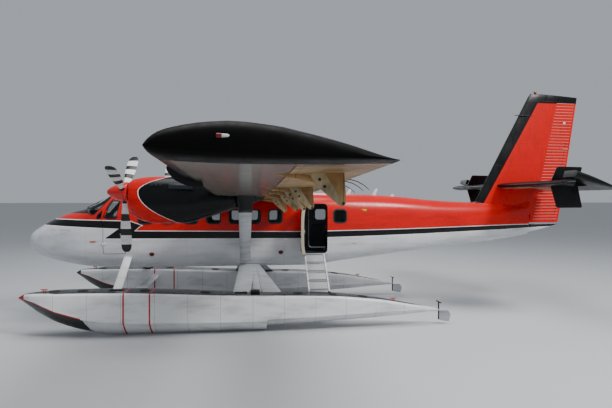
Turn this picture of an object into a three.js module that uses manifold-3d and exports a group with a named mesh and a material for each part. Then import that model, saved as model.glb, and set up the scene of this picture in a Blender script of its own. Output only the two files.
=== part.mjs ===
// Twin-engined high-wing floatplane, standing on its floats.
// Millimetres, +Z up. Inside the airframe group X runs aft from the nose tip, +Y is starboard
// and Z is zero at the float keels.
import * as THREE from 'three';
import * as BufferGeometryUtils from 'three/addons/utils/BufferGeometryUtils.js';
import Module from 'manifold-3d';

const wasm = await Module();
wasm.setup();

// Driving dimensions
const overallLength = 15090;
const seat = 0.3; // gap where one piece rests on another
const wall = 70; // thickness of the cabin wall and doors
const far = 20000; // reach of a cutting block past the aircraft

const wing = {
  halfSpan: 9905,
  leadingEdge: 4700,
  chord: 1980,
  rootHeight: 3135,
  dihedral: 0.0352,
  above: 0.132,
  below: 0.041,
  leadingDrop: 32, // of the chord line's front end below the wing's reference height
  droop: 91, // of the chord line from front to rear
  trailingGap: 4,
};
const surfaceHinge = { x: 6200, drop: 60, radius: 310, gap: 10 };
const flapSpan = { inner: 960, outer: 5640 };
const aileronSpan = { inner: 5660, outer: 9560 };
const armStations = { flap: [1500, 4150, 5350], aileron: [6350, 8750] };
const arm = { thickness: 36, split: 8, root: 30, drop: 330 };

const engineLine = { y: 2800, z: 3200 };
const propeller = { x: 2950, blades: 3, portTurn: 9, starboardTurn: 20 }; // as they stand, in degrees

const cabin = { front: 2600, rear: 8350, floor: 1600, ceiling: 2960 };
const cabinWindow = { width: 330, height: 330, z: 2605, corner: 80 };
const portWindows = [3010, 3560, 4115, 4675, 5235, 5675, 6232, 7915];
const starboardWindows = [3010, 3560, 4115, 4675, 5235, 5675, 6232];
const portDoor = { front: 6880, rear: 7580, low: 1650, high: 2930, corner: 90, window: 7230 };
const starboardDoor = { front: 7290, rear: 7990, low: 1650, high: 2930, corner: 90, window: 7640 };
const crewDoor = {
  front: 1985,
  rear: 2540,
  low: 1690,
  high: 3060,
  corner: 30,
  lean: [[2205, 3060], [2150, 2995], [2070, 2850], [1985, 2600]], // upper part of its front edge
};
const doorGap = 12;
const doorPinProud = 14; // hinge line outside the skin
const portDoorOpen = 98; // degrees, as it stands
const noseJoint = 1150;

const tailplane = { x: 12600, z: 3430, chord: 1480, halfSpan: 3145, thickness: 0.11 };
const elevator = { hinge: 13560, droop: 18, inner: 275, hornInner: 2650, hornFront: 12890, gap: 8 };
const finlet = { y: 2320, thickness: 26 };
const rudderHinge = { low: [13620, 2380], high: [14420, 6030], gap: 8 };

const floatLine = 1950;
const wingStrutTop = { x: 5450, y: 3725 };

// Materials: colour, roughness and metalness of each finish
const finish = {
  red: new THREE.MeshStandardMaterial({ color: 0xd6201b, roughness: 0.3, metalness: 0 }),
  white: new THREE.MeshStandardMaterial({ color: 0xe6e7e8, roughness: 0.35, metalness: 0 }),
  black: new THREE.MeshStandardMaterial({ color: 0x0d0f10, roughness: 0.35, metalness: 0 }),
  grey: new THREE.MeshStandardMaterial({ color: 0xb9bcc1, roughness: 0.4, metalness: 0 }),
  cream: new THREE.MeshStandardMaterial({ color: 0xc9bfa4, roughness: 0.5, metalness: 0 }),
  metal: new THREE.MeshStandardMaterial({ color: 0xc9ccd0, roughness: 0.3, metalness: 1 }),
  iron: new THREE.MeshStandardMaterial({ color: 0x6a6c6e, roughness: 0.5, metalness: 1 }),
  glass: new THREE.MeshStandardMaterial({ color: 0x9fb4b8, roughness: 0.05, metalness: 0 }),
  leather: new THREE.MeshStandardMaterial({ color: 0x3b4148, roughness: 0.6, metalness: 0 }),
  panel: new THREE.MeshStandardMaterial({ color: 0x2b2d30, roughness: 0.7, metalness: 0 }),
};

// Solids
function vector(x, y, z) {
  return new THREE.Vector3(x, y, z);
}

function solidOf(geometry) {
  const bare = geometry.clone();
  bare.deleteAttribute('normal');
  bare.deleteAttribute('uv');
  const merged = BufferGeometryUtils.mergeVertices(bare, 1e-3);
  return new wasm.Manifold(new wasm.Mesh({
    numProp: 3,
    vertProperties: new Float32Array(merged.attributes.position.array),
    triVerts: new Uint32Array(merged.index.array),
  }));
}

function geometryOf(solid) {
  const mesh = solid.getMesh();
  const geometry = new THREE.BufferGeometry();
  geometry.setAttribute('position', new THREE.BufferAttribute(mesh.vertProperties, 3));
  geometry.setIndex(new THREE.BufferAttribute(mesh.triVerts, 1));
  geometry.computeVertexNormals();
  return geometry;
}

// The same solid placed by a matrix; a mirroring matrix also turns the triangles round
function placed(solid, matrix) {
  const geometry = geometryOf(solid).applyMatrix4(matrix);
  if (matrix.determinant() < 0) {
    const index = geometry.index.array;
    for (let i = 0; i < index.length; i += 3) {
      [index[i + 1], index[i + 2]] = [index[i + 2], index[i + 1]];
    }
  }
  return solidOf(geometry);
}

const moved = (solid, x, y, z) => placed(solid, new THREE.Matrix4().makeTranslation(x, y, z));
const mirrored = (solid) => placed(solid, new THREE.Matrix4().makeScale(1, -1, 1));
const joined = (solids) => solids.reduce((sum, solid) => sum.add(solid));
const cutBy = (solid, cutters) => cutters.reduce((rest, cutter) => rest.subtract(cutter), solid);

function signedVolume(points, triangles) {
  return triangles.reduce((sum, [a, b, c]) => (
    sum + points[a].dot(points[b].clone().cross(points[c])) / 6), 0);
}

// Triangles that fill one flat ring, each with its corners in the ring's own order
function capTriangles(ring) {
  const normal = vector(0, 0, 0);
  ring.forEach((point, i) => {
    const next = ring[(i + 1) % ring.length];
    normal.x += (point.y - next.y) * (point.z + next.z);
    normal.y += (point.z - next.z) * (point.x + next.x);
    normal.z += (point.x - next.x) * (point.y + next.y);
  });
  const size = normal.toArray().map(Math.abs);
  const drop = size.indexOf(Math.max(...size));
  const [u, v] = [0, 1, 2].filter((axis) => axis !== drop);
  const flat = ring.map((point) => new THREE.Vector2(point.getComponent(u), point.getComponent(v)));
  return THREE.ShapeUtils.triangulateShape(flat, []).map((corners) => corners.sort((a, b) => a - b));
}

// A closed body through rings of equally many points
function loft(rings) {
  const count = rings[0].length;
  const points = rings.flat();
  const last = points.length - count;
  const triangles = [];
  for (let i = 0; i < last; i += count) {
    for (let j = 0; j < count; j += 1) {
      const a = i + j;
      const b = i + (j + 1) % count;
      triangles.push([a, b, b + count], [a, b + count, a + count]);
    }
  }
  capTriangles(rings[0]).forEach(([a, b, c]) => triangles.push([c, b, a]));
  capTriangles(rings.at(-1)).forEach(([a, b, c]) => triangles.push([a + last, b + last, c + last]));
  const outward = signedVolume(points, triangles) > 0;
  const geometry = new THREE.BufferGeometry();
  geometry.setAttribute('position', new THREE.Float32BufferAttribute(points.flatMap((p) => p.toArray()), 3));
  geometry.setIndex(triangles.flatMap(([a, b, c]) => (outward ? [a, b, c] : [a, c, b])));
  return solidOf(geometry);
}

function block(x0, x1, y0, y1, z0, z1) {
  const geometry = new THREE.BoxGeometry(x1 - x0, y1 - y0, z1 - z0);
  return solidOf(geometry.translate((x0 + x1) / 2, (y0 + y1) / 2, (z0 + z1) / 2));
}

// A flat outline of [x, z] points, extruded from y0 to y1
function sidePlate(outline, y0, y1) {
  return loft([y0, y1].map((y) => outline.map(([x, z]) => vector(x, y, z))));
}

// The outline of a rectangle with round corners, as [x, z] points
function roundedOutline(x0, x1, z0, z1, corner, steps = 3) {
  const centres = [[x1 - corner, z1 - corner], [x0 + corner, z1 - corner],
    [x0 + corner, z0 + corner], [x1 - corner, z0 + corner]];
  return centres.flatMap(([x, z], quarter) => Array.from({ length: steps + 1 }, (_, i) => {
    const angle = (quarter + i / steps) * Math.PI / 2;
    return [x + corner * Math.cos(angle), z + corner * Math.sin(angle)];
  }));
}

function rod(from, to, radius, sides = 10) {
  const axis = to.clone().sub(from);
  const geometry = new THREE.CylinderGeometry(radius, radius, axis.length(), sides);
  geometry.applyQuaternion(new THREE.Quaternion().setFromUnitVectors(vector(0, 1, 0), axis.clone().normalize()));
  const centre = from.clone().add(to).divideScalar(2);
  return solidOf(geometry.translate(centre.x, centre.y, centre.z));
}

// A streamlined leg: a lens-shaped section of the given chord and thickness, level at both ends
function fairedLeg(from, to, chord, thickness, endChord = chord) {
  const section = [[0, 0], [0.12, 0.36], [0.35, 0.5], [0.7, 0.34], [1, 0.04], [1, -0.04], [0.7, -0.34],
    [0.35, -0.5], [0.12, -0.36]];
  const ring = (centre, width) => section.map(([along, across]) => (
    vector(centre.x + (along - 0.5) * width, centre.y + across * thickness, centre.z)));
  return loft([ring(from, chord), ring(to, endChord)]);
}

// The value of each column of a table, whose first column is the station, at any station
function rowAt(table, station) {
  const next = Math.max(1, table.findIndex((row) => row[0] >= station));
  const [low, high] = [table[next - 1], table[next]];
  const share = (station - low[0]) / (high[0] - low[0]);
  return low.map((value, i) => value + (high[i] - value) * share);
}

function stationsBetween(table, from, to) {
  const inside = table.map((row) => row[0]).filter((x) => x > from && x < to);
  return [from, ...inside, to];
}

// An oval ring across the X axis; a higher power squares its corners
function ovalRing([x, top, bottom, half, power], centreY = 0, inset = 0, sides = 32) {
  const [middle, height] = [(top + bottom) / 2, (top - bottom) / 2 - inset];
  const squared = (value) => Math.sign(value) * Math.abs(value) ** (2 / power);
  return Array.from({ length: sides }, (_, i) => {
    const angle = (i + 0.5) / sides * 2 * Math.PI;
    return vector(x, centreY + (half - inset) * squared(Math.cos(angle)), middle + height * squared(Math.sin(angle)));
  });
}

// Fuselage
const fuselageStations = [ // x, top, bottom, half width, corner power
  [0, 2050, 1930, 80, 2],
  [60, 2185, 1810, 220, 2.1],
  [280, 2350, 1620, 420, 2.2],
  [590, 2530, 1500, 575, 2.4],
  [990, 2690, 1415, 700, 2.7],
  [1450, 2815, 1340, 790, 3],
  [1750, 2965, 1312, 822, 3.2],
  [2080, 3165, 1298, 848, 3.5],
  [2600, 3210, 1290, 872, 4],
  [7100, 3210, 1290, 875, 4],
  [7970, 3195, 1390, 820, 3.8],
  [9000, 3160, 1500, 700, 3.4],
  [9620, 3120, 1570, 620, 3.2],
  [10940, 3000, 1715, 460, 2.8],
  [12250, 2935, 1850, 310, 2.4],
  [13280, 2880, 2000, 170, 2.2],
  [13560, 2860, 2055, 110, 2.1],
];
const stingStations = [ // the slim end under the rudder, in the same columns
  [13500, 2335, 2070, 84, 2.1],
  [14000, 2335, 2185, 62, 2.1],
  [14480, 2336, 2318, 18, 2],
];
const fuselageEnd = fuselageStations.at(-1)[0];

function fuselage(from, to, inset) {
  return loft(stationsBetween(fuselageStations, from, to)
    .map((x) => ovalRing(rowAt(fuselageStations, x), 0, inset)));
}

const outerSkin = fuselage(0, fuselageEnd, 0);
const interior = fuselage(noseJoint + wall, cabin.rear + wall, wall);
const shell = outerSkin.subtract(interior);
const outsideOf = (gap) => [moved(outerSkin, 0, gap, 0), moved(outerSkin, 0, -gap, 0), moved(outerSkin, 0, 0, -gap)];

function windowCutter(x, side, grow = 0) {
  const { width, height, z, corner } = cabinWindow;
  const outline = roundedOutline(x - width / 2 - grow, x + width / 2 + grow, z - height / 2 - grow,
    z + height / 2 + grow, corner + grow);
  return side > 0 ? sidePlate(outline, 100, 1200) : sidePlate(outline, -1200, -100);
}

function doorCutter(door, side, grow = 0) {
  const outline = roundedOutline(door.front - grow, door.rear + grow, door.low - grow, door.high + grow,
    door.corner + grow);
  if (door.lean) {
    const corner = outline.length / 4;
    outline.splice(corner, corner, ...door.lean.map(([x, z], i) => [x - grow, i === 0 ? z + grow : z]));
  }
  return side > 0 ? sidePlate(outline, 100, 1200) : sidePlate(outline, -1200, -100);
}

const crewWindow = [[2022, 2570], [2108, 2855], [2200, 3010], [2402, 2985], [2305, 2570]];
const quarterWindow = [[1828, 2562], [1840, 2640], [1965, 2770], [1935, 2575]];
const windscreenPane = [[1490, 2800], [1620, 2690], [1740, 2650], [2120, 3060], [2120, 3400], [1490, 3400]];
const centrePost = 35; // half width

// The windscreen's pane in side view, from the centre post round to the fuselage side
function windscreenCutter(side) {
  return sidePlate(windscreenPane, side * centrePost, side * 1200);
}

const sideFaces = { 1: [seat / 2, far], '-1': [-far, -seat / 2] };

function cabinSide(side) {
  const [y0, y1] = sideFaces[side];
  const panel = shell.intersect(block(cabin.front + seat, cabin.rear - seat, y0, y1,
    cabin.floor + seat, cabin.ceiling - seat));
  const windows = (side > 0 ? starboardWindows : portWindows).map((x) => windowCutter(x, side));
  const door = side > 0 ? starboardDoor : portDoor;
  return joined([cutBy(panel, [...windows, doorCutter(door, side)]), ...hingeLeaves(door, side, false)]);
}

function doorPin(door) {
  return { x: door.front - 4, y: rowAt(fuselageStations, door.front)[3] + doorPinProud };
}

// Everything that a door may fill and still swing clear of its rear jamb
function doorSwing(door, side) {
  const { x, y } = doorPin(door);
  const reach = door.rear - x - 6;
  return rod(vector(x, side * y, 0), vector(x, side * y, far), reach, 96);
}

// One leaf of each of a door's two hinges: the wall's ahead of the pin, the door's behind it
function hingeLeaves(door, side, onDoor) {
  const { x, y } = doorPin(door);
  const knuckle = { length: 60, radius: 13, leaf: 62 };
  const heights = [door.low + 160, door.low + 760];
  return heights.flatMap((height) => {
    const z0 = onDoor ? height + knuckle.length + seat : height;
    const z1 = z0 + knuckle.length;
    const reach = onDoor ? knuckle.leaf : -knuckle.leaf;
    const leafBlock = (from, depth) => {
      const [xs, ys] = [[from, x + reach], [side * (y - depth), side * (y - 2)]];
      return block(Math.min(...xs), Math.max(...xs), Math.min(...ys), Math.max(...ys), z0, z1);
    };
    return [
      rod(vector(x, side * y, z0), vector(x, side * y, z1), knuckle.radius, 8),
      leafBlock(x, knuckle.radius - 1),
      leafBlock(x + reach / 2, doorPinProud + 16),
    ];
  });
}

function swingDoor(door, side, pane) {
  const panel = shell.intersect(doorCutter(door, side, -doorGap)).intersect(doorSwing(door, side));
  return joined([panel.subtract(pane), ...hingeLeaves(door, side, true)]);
}

const passengerDoor = (door, side) => swingDoor(door, side, windowCutter(door.window, side));
const crewDoorSolid = (side) => swingDoor(crewDoor, side, sidePlate(crewWindow, side * 100, side * 1200));

function cockpitShell() {
  const front = shell.intersect(block(noseJoint + seat, cabin.front - seat, -far, far, cabin.floor + seat, far));
  const cutters = [-1, 1].flatMap((side) => [
    doorCutter(crewDoor, side),
    sidePlate(quarterWindow, side * 100, side * 1200),
    windscreenCutter(side),
  ]);
  return joined([cutBy(front, cutters), ...[-1, 1].flatMap((side) => hingeLeaves(crewDoor, side, false))]);
}

function windscreen(side) {
  const sheet = fuselage(1300, 2300, 20).subtract(fuselage(1250, 2350, 40));
  const cutter = windscreenCutter(side);
  const inset = [[seat, 0], [-seat, 0], [0, seat], [0, -seat]].map(([x, z]) => moved(cutter, x, side * seat, z));
  return inset.reduce((pane, edge) => pane.intersect(edge), sheet);
}

// The tail is a shell, open at its front, which the bulkhead closes
function tailCone() {
  const hollow = fuselage(cabin.rear - wall, 12250, 35);
  const sting = loft(stingStations.map((row) => ovalRing(row)));
  const cone = outerSkin.intersect(block(cabin.rear, far, -far, far, 0, far)).add(sting);
  const rudderClear = rudderBar(rudderHinge.gap, rudderFoot - 40, rudderFoot + 300);
  return cutBy(cone, [hollow, rudderClear]).add(rudderLug());
}

function rearBulkhead() {
  const { rear, floor, ceiling } = cabin;
  return fuselage(rear - 30, rear - seat, wall + seat).intersect(block(0, far, -far, far, floor + seat, ceiling - seat));
}

// Wing: an airfoil section at each station along the span
const airfoil = [ // share of the chord, height above and depth below as shares of the greatest ones
  [0, 0, 0],
  [0.012, 0.28, 0.55],
  [0.05, 0.54, 0.875],
  [0.12, 0.735, 0.995],
  [0.25, 0.935, 1],
  [0.35, 1, 0.934],
  [0.5, 0.937, 0.79],
  [0.65, 0.741, 0.61],
  [0.8, 0.484, 0.395],
  [1, 0.015, 0.05],
];

const wingHeight = (y) => wing.rootHeight + wing.dihedral * y;
const chordLine = (y, share) => wingHeight(y) - wing.leadingDrop - wing.droop * share;

function airfoilRing(x, y, chord, above, below) {
  const upper = airfoil.map(([share, height]) => (
    vector(x + share * chord, y, chordLine(y, share) + height * above)));
  const lower = airfoil.slice(1).reverse().map(([share, , depth]) => (
    vector(x + share * chord, y, chordLine(y, share) - depth * below - (share === 1 ? wing.trailingGap : 0))));
  return [...upper, ...lower];
}

const wingTip = [ // distance inside the tip, share of the thickness
  [240, 1],
  [110, 0.93],
  [35, 0.72],
  [0, 0.4],
];

function wingBody(grow = 0) {
  const ring = (y, thickShare) => airfoilRing(
    wing.leadingEdge - grow,
    y,
    wing.chord + 2 * grow,
    wing.chord * wing.above * thickShare + grow,
    wing.chord * wing.below * thickShare + grow,
  );
  return loft([ring(grow > 0 ? -20 : seat / 2, 1), ...wingTip.map(([inside, thickShare]) => (
    ring(wing.halfSpan - inside, thickShare)))]);
}

// Height of the wing's lower skin at a station aft of the nose and a distance out
function lowerSkin(x, y) {
  const [share, , depth] = rowAt(airfoil, (x - wing.leadingEdge) / wing.chord);
  return chordLine(y, share) - depth * wing.below * wing.chord;
}

function hingePoint(y) {
  const { x, drop } = surfaceHinge;
  return { x, z: lowerSkin(x, y) - drop };
}

// A round bar along the hinge line of the wing's trailing surfaces
function hingeBar(radius, from, to, sides) {
  return loft([from, to].map((y) => Array.from({ length: sides }, (_, i) => {
    const angle = (i + 0.5) / sides * 2 * Math.PI;
    const { x, z } = hingePoint(y);
    return vector(x + radius * Math.cos(angle), y, z + radius * Math.sin(angle));
  })));
}

// The wing's bracket to the hinge line at one station
function hingeBracket(y0, y1) {
  const { x, z } = hingePoint(y0);
  const root = (station) => lowerSkin(station, y0) + arm.root;
  return sidePlate([[5600, root(5600)], [5830, root(5830)], [x + 30, z + 28], [x + 36, z - 16], [x, z - 36]], y0, y1);
}

// The deep arm that the flap or aileron carries below the hinge line
function hingeArm(y0, y1) {
  const { x, z } = hingePoint(y0);
  const root = (station) => lowerSkin(station, y0) + arm.root;
  const tip = z + surfaceHinge.drop - arm.drop;
  return sidePlate([[6080, root(6080)], [6450, root(6450)], [6475, tip + 45], [6445, tip], [6405, tip + 8],
    [x - 48, z - 45]], y0, y1);
}

const everyArm = [...armStations.flap, ...armStations.aileron];

function wingHalf() {
  const { inner } = flapSpan;
  const { outer } = aileronSpan;
  const { radius, gap } = surfaceHinge;
  const bay = hingeBar(radius + gap, inner - gap, outer + gap, 96);
  const aftBay = block(surfaceHinge.x, far, inner - gap, outer + gap, 0, far);
  const arms = everyArm.map((y) => hingeBracket(y - arm.thickness - arm.split, y - arm.split));
  const pins = everyArm.map((y) => {
    const { x, z } = hingePoint(y);
    return rod(vector(x, y - arm.split - 10, z), vector(x, y - 3 * seat, z), 16);
  });
  return joined([cutBy(wingBody(), [bay, aftBay]), ...arms, ...pins]);
}

function trailingSurface({ inner, outer }, stations) {
  const span = block(0, far, inner, outer, 0, far);
  const nose = hingeBar(surfaceHinge.radius, inner, outer, 96);
  const arms = stations.map((y) => hingeArm(y, y + arm.thickness));
  // The nose is notched where the wing's bracket stands, high enough to swing up past it
  const notches = stations.map((y) => {
    const { x, z } = hingePoint(y);
    const outline = [[x + 50, z + 45], [x - 200, z + 175], [x - 330, z + 250], [x - 330, z - 100], [x + 50, z - 60]];
    return sidePlate(outline, y - arm.thickness - 2 * arm.split, y);
  });
  const behind = block(surfaceHinge.x, far, inner, outer, 0, far);
  const surface = wingBody().intersect(span).intersect(nose.add(behind));
  return joined([cutBy(surface, notches), ...arms]);
}

function wingFence() {
  const y = 7400;
  const z = wingHeight(y);
  const outline = [[4490, z + 20], [4530, z + 110], [4640, z + 190], [4860, z + 250], [5150, z + 260],
    [5150, z + 120], [4900, z - 30], [4960, z - 200], [4760, z - 190], [4590, z - 110]];
  return sidePlate(outline, y - 12, y + 12).subtract(wingBody(seat));
}

// Nacelle, engine and propeller of the starboard side
const nacelleStations = [ // x, top, bottom, half width, corner power
  [3065, 3410, 2760, 235, 2.2],
  [3150, 3460, 2690, 290, 2.3],
  [3350, 3505, 2585, 350, 2.4],
  [3650, 3525, 2535, 380, 2.5],
  [4200, 3525, 2540, 385, 2.5],
  [4700, 3480, 2670, 370, 2.4],
  [5050, 3330, 2775, 340, 2.3],
  [5500, 3300, 2915, 260, 2.2],
  [5870, 3270, 3040, 130, 2],
];

function nacelle() {
  const oval = (row, inset) => ovalRing(row, engineLine.y, inset, 20);
  const body = loft(nacelleStations.map((row) => oval(row, 0)));
  const hollow = loft(stationsBetween(nacelleStations, 3100, 4550)
    .map((x) => oval(rowAt(nacelleStations, x), 32)));
  const shaftHole = rod(vector(3000, engineLine.y, engineLine.z), vector(3200, engineLine.y, engineLine.z), 70, 16);
  const intake = loft([3000, 3200].map((x) => ovalRing([x, 2945, 2810, 170, 2.6], engineLine.y, 0, 12)));
  const exhaust = [-1, 1].map((side) => rod(vector(3930, engineLine.y + side * 330, 3310),
    vector(4410, engineLine.y + side * 430, 3300), 65, 12));
  return cutBy(joined([body, ...exhaust]), [hollow, shaftHole, intake, wingBody(seat)]);
}

function engine() {
  const { y, z } = engineLine;
  const core = rod(vector(3230, y, z), vector(4550 - seat, y, z), 215, 20);
  const shaft = rod(vector(3040 + seat, y, z), vector(3260, y, z), 55, 16);
  return core.add(shaft);
}

const bladeStations = [ // radius, chord, thickness, twist from feather in degrees
  [120, 90, 70, 0],
  [260, 110, 52, -16],
  [480, 165, 34, -12],
  [760, 215, 24, -5],
  [1040, 225, 17, 0],
  [1230, 190, 12, 3],
  [1295, 120, 8, 4],
];

function propellerSolid() {
  const bladeSection = [[-0.5, 0], [-0.42, 0.3], [-0.2, 0.5], [0.15, 0.42], [0.5, 0.06], [0.5, -0.06],
    [0.15, -0.42], [-0.2, -0.5], [-0.42, -0.3]];
  const blade = loft(bladeStations.map(([radius, chord, thickness, twist]) => bladeSection.map(([along, across]) => (
    vector(along * chord, across * thickness, 0)
      .applyAxisAngle(vector(0, 0, 1), THREE.MathUtils.degToRad(twist))
      .add(vector(0, 0, -radius))))));
  const blades = Array.from({ length: propeller.blades }, (_, i) => (
    placed(blade, new THREE.Matrix4().makeRotationX(i / propeller.blades * 2 * Math.PI))));
  const profile = [[0, -350], [45, -335], [95, -270], [140, -180], [175, -80], [200, 0], [208, 60], [205, 90],
    [0, 90]].map(([radius, along]) => new THREE.Vector2(radius, along));
  const spinner = solidOf(new THREE.LatheGeometry(profile, 20).rotateZ(-Math.PI / 2));
  return joined([spinner, ...blades]);
}

// Wing strut from the fuselage's lower side to the wing outboard of the nacelle
function wingStrut() {
  const { x: wingX, y: wingY } = wingStrutTop;
  const head = vector(wingX, wingY, wingHeight(wingY));
  const leg = fairedLeg(vector(wingX, 680, 1440), head, 300, 190, 280);
  const collar = fairedLeg(vector(wingX, wingY - 500, head.z - 300), head, 330, 230, 400);
  return joined([leg, collar]).subtract(moved(wingBody(), 0, 0, -seat));
}

// Fin and rudder: sections one above the other
const finStations = [ // z, leading edge, trailing edge, thickness
  [2380, 11665, 14500, 170],
  [2940, 11960, 14610, 190],
  [4080, 12562, 14790, 165],
  [5990, 13571, overallLength, 112],
  [6100, 13665, overallLength, 60],
];
const tipSlope = { front: 13660, fall: 0.0664 }; // the tip's upper edge falls towards the rear

function hingeX(z) {
  const [[x0, z0], [x1, z1]] = [rudderHinge.low, rudderHinge.high];
  return x0 + (z - z0) / (z1 - z0) * (x1 - x0);
}

// Half thickness of the fin's or tailplane's symmetrical section at a share of its chord
const tailSection = [[0, 0], [0.02, 0.36], [0.08, 0.7], [0.22, 1], [0.45, 0.98], [0.65, 0.72], [1, 0.05]];

function tailHalf(share) {
  return rowAt(tailSection, share)[1];
}

function finRing(z, front, rear, thickness, from = front, to = rear) {
  const shares = tailSection.map(([share]) => from + share * (to - from));
  const side = (x, sign) => vector(x, sign * Math.max(4, thickness / 2 * tailHalf((x - front) / (rear - front))), z);
  return [...shares.map((x) => side(x, 1)), ...shares.toReversed().map((x) => side(x, -1))];
}

// A bar round the rudder's hinge line, wide enough for the section there
function rudderBar(grow, low, high) {
  return loft([low, high].map((z) => {
    const [, front, rear, thickness] = rowAt(finStations, z);
    const radius = thickness / 2 * tailHalf((hingeX(z) - front) / (rear - front)) + grow;
    return Array.from({ length: 16 }, (_, i) => {
      const angle = (i + 0.5) / 16 * 2 * Math.PI;
      return vector(hingeX(z) + radius * Math.cos(angle), radius * Math.sin(angle), z);
    });
  }));
}

function behindHinge(offset, low, high) {
  return loft([low, high].map((z) => [[offset, -400], [3000, -400], [3000, 400], [offset, 400]]
    .map(([x, y]) => vector(hingeX(z) + x, y, z))));
}

const finTop = finStations.at(-1)[0];

// Fin and rudder as one body
function finAndRudder() {
  const { front, fall } = tipSlope;
  const reach = 2000;
  const above = sidePlate([[front, finTop], [front + reach, finTop - fall * reach], [front + reach, finTop + 200],
    [front, finTop + 200]], -400, 400);
  return loft(finStations.map((row) => finRing(...row))).subtract(above);
}

function fin() {
  const body = finAndRudder();
  const dorsal = loft([
    finRing(2850, 11350, 13300, 150),
    finRing(2990, 11950, 13300, 150),
  ]);
  const aft = rudderBar(rudderHinge.gap, 2300, finTop + 50).add(behindHinge(0, 2300, finTop + 50));
  const clear = [moved(outerSkin, 0, 0, seat), moved(outerSkin, seat, 0, 0)];
  return cutBy(body.add(dorsal), [aft, ...clear, block(0, far, -far, far, 0, 2700)]);
}

// A pin along the rudder's hinge line between two heights
function rudderPin(low, high, radius) {
  return rod(vector(hingeX(low), 0, low), vector(hingeX(high), 0, high), radius, 12);
}

const rudderFoot = 2380;

function rudder() {
  const nose = rudderBar(0, rudderFoot, finTop);
  const surface = finAndRudder().intersect(nose.add(behindHinge(0, rudderFoot, finTop)));
  return surface.add(rudderPin(rudderFoot - 30, rudderFoot + 60, 16));
}

// The lug on the tail cone under the rudder, with its bearing face square to the hinge line
function rudderLug() {
  const low = rudderFoot - 75;
  return joined([
    rudderPin(low, rudderFoot - 30 - seat, 24),
    block(13480, hingeX(low) + 5, -18, 18, low - 20, low + 25),
  ]);
}

// Tailplane and elevator of the starboard side
function tailRing(y, front, rear, thickness) {
  const side = (share, sign) => vector(front + share * (rear - front), y,
    tailplane.z + sign * Math.max(4, thickness / 2 * tailHalf(share)));
  return [...tailSection.map(([share]) => side(share, 1)), ...tailSection.toReversed().map(([share]) => side(share, -1))];
}

function tailBody(from) {
  const { x, chord, halfSpan, thickness } = tailplane;
  const ring = (y, inset, share) => tailRing(y, x + inset, x + chord - inset * 0.3, chord * thickness * share);
  return loft([ring(from, 0, 1), ring(halfSpan - 120, 0, 1), ring(halfSpan - 30, 30, 0.75), ring(halfSpan, 90, 0.35)]);
}

function elevatorBar(radius, from, to, sides) {
  return loft([from, to].map((y) => Array.from({ length: sides }, (_, i) => {
    const angle = (i + 0.5) / sides * 2 * Math.PI;
    return vector(elevator.hinge + radius * Math.cos(angle), y, tailplane.z + radius * Math.sin(angle));
  })));
}

const elevatorNose = tailplane.chord * tailplane.thickness / 2
  * tailHalf((elevator.hinge - tailplane.x) / tailplane.chord);

function elevatorSpace(grow) {
  const { hinge, inner, hornInner, hornFront } = elevator;
  const main = elevatorBar(elevatorNose + grow, inner - grow, tailplane.halfSpan + grow, 20);
  const aft = block(hinge, far, inner - grow, far, 3000, 4000);
  const horn = elevatorBar(hinge - hornFront + grow, hornInner - grow, tailplane.halfSpan + grow + 10, 64);
  return joined([main, aft, horn]);
}

const elevatorDroop = new THREE.Matrix4().makeTranslation(elevator.hinge, 0, tailplane.z)
  .multiply(new THREE.Matrix4().makeRotationY(THREE.MathUtils.degToRad(elevator.droop)))
  .multiply(new THREE.Matrix4().makeTranslation(-elevator.hinge, 0, -tailplane.z));

const elevatorSolid = placed(tailBody(elevator.inner).intersect(elevatorSpace(0)), elevatorDroop);

function tailplaneHalf() {
  const slit = block(12700, 13520, finlet.y - finlet.thickness / 2 - seat, finlet.y + finlet.thickness / 2 + seat, 0, far);
  const rear = block(elevator.hinge + 40, far, -far, far, 0, far);
  const { hinge, inner } = elevator;
  const pin = rod(vector(hinge, inner - 40, tailplane.z), vector(hinge, inner - seat, tailplane.z), 15, 12);
  const finSides = [finAndRudder(), mirrored(finAndRudder())].map((side) => moved(side, 0, seat, 0));
  return cutBy(tailBody(10), [elevatorSpace(elevator.gap), slit, rear, ...finSides]).add(pin);
}

function finletPlate() {
  const outline = [[12965, 2835], [12790, 3410], [12790, 3450], [12970, 3840], [13625, 3830], [13500, 3460],
    [13500, 3400], [13625, 2840]];
  return sidePlate(outline, finlet.y - finlet.thickness / 2, finlet.y + finlet.thickness / 2)
    .subtract(elevatorBar(elevatorNose + elevator.gap, 0, far / 4, 20));
}

// Floats
const floatStations = [ // x, deck height, deck half width, chine height, chine half width, keel height
  [500, 880, 20, 862, 24, 845],
  [640, 950, 120, 850, 120, 745],
  [900, 975, 235, 780, 225, 545],
  [1350, 990, 320, 590, 315, 290],
  [1950, 990, 365, 420, 370, 100],
  [2600, 985, 385, 335, 395, 0],
  [5150, 872, 390, 290, 400, 0],
  [5950, 850, 380, 285, 395, 0],
  [5960, 850, 380, 320, 380, 105],
  [7150, 818, 340, 350, 335, 150],
  [8500, 690, 245, 385, 240, 215],
  [9450, 520, 140, 390, 140, 285],
  [10100, 390, 30, 360, 34, 330],
];

function floatRing([x, deck, deckHalf, chine, chineHalf, keel]) {
  const edge = Math.min(45, deckHalf * 0.4);
  const lip = Math.min(26, (deck - chine) * 0.3);
  const right = [[0, keel], [chineHalf, chine], [chineHalf * 0.99, chine + lip], [deckHalf, deck - edge],
    [deckHalf - edge, deck]];
  const left = right.slice(1).reverse().map(([y, z]) => [-y, z]);
  return [...right, ...left].map(([y, z]) => vector(x, floatLine + y, z));
}

const floatHull = loft(floatStations.map(floatRing));
const deckAt = (x) => rowAt(floatStations, x)[1];
const floatAbove = moved(floatHull, 0, 0, seat);

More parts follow.
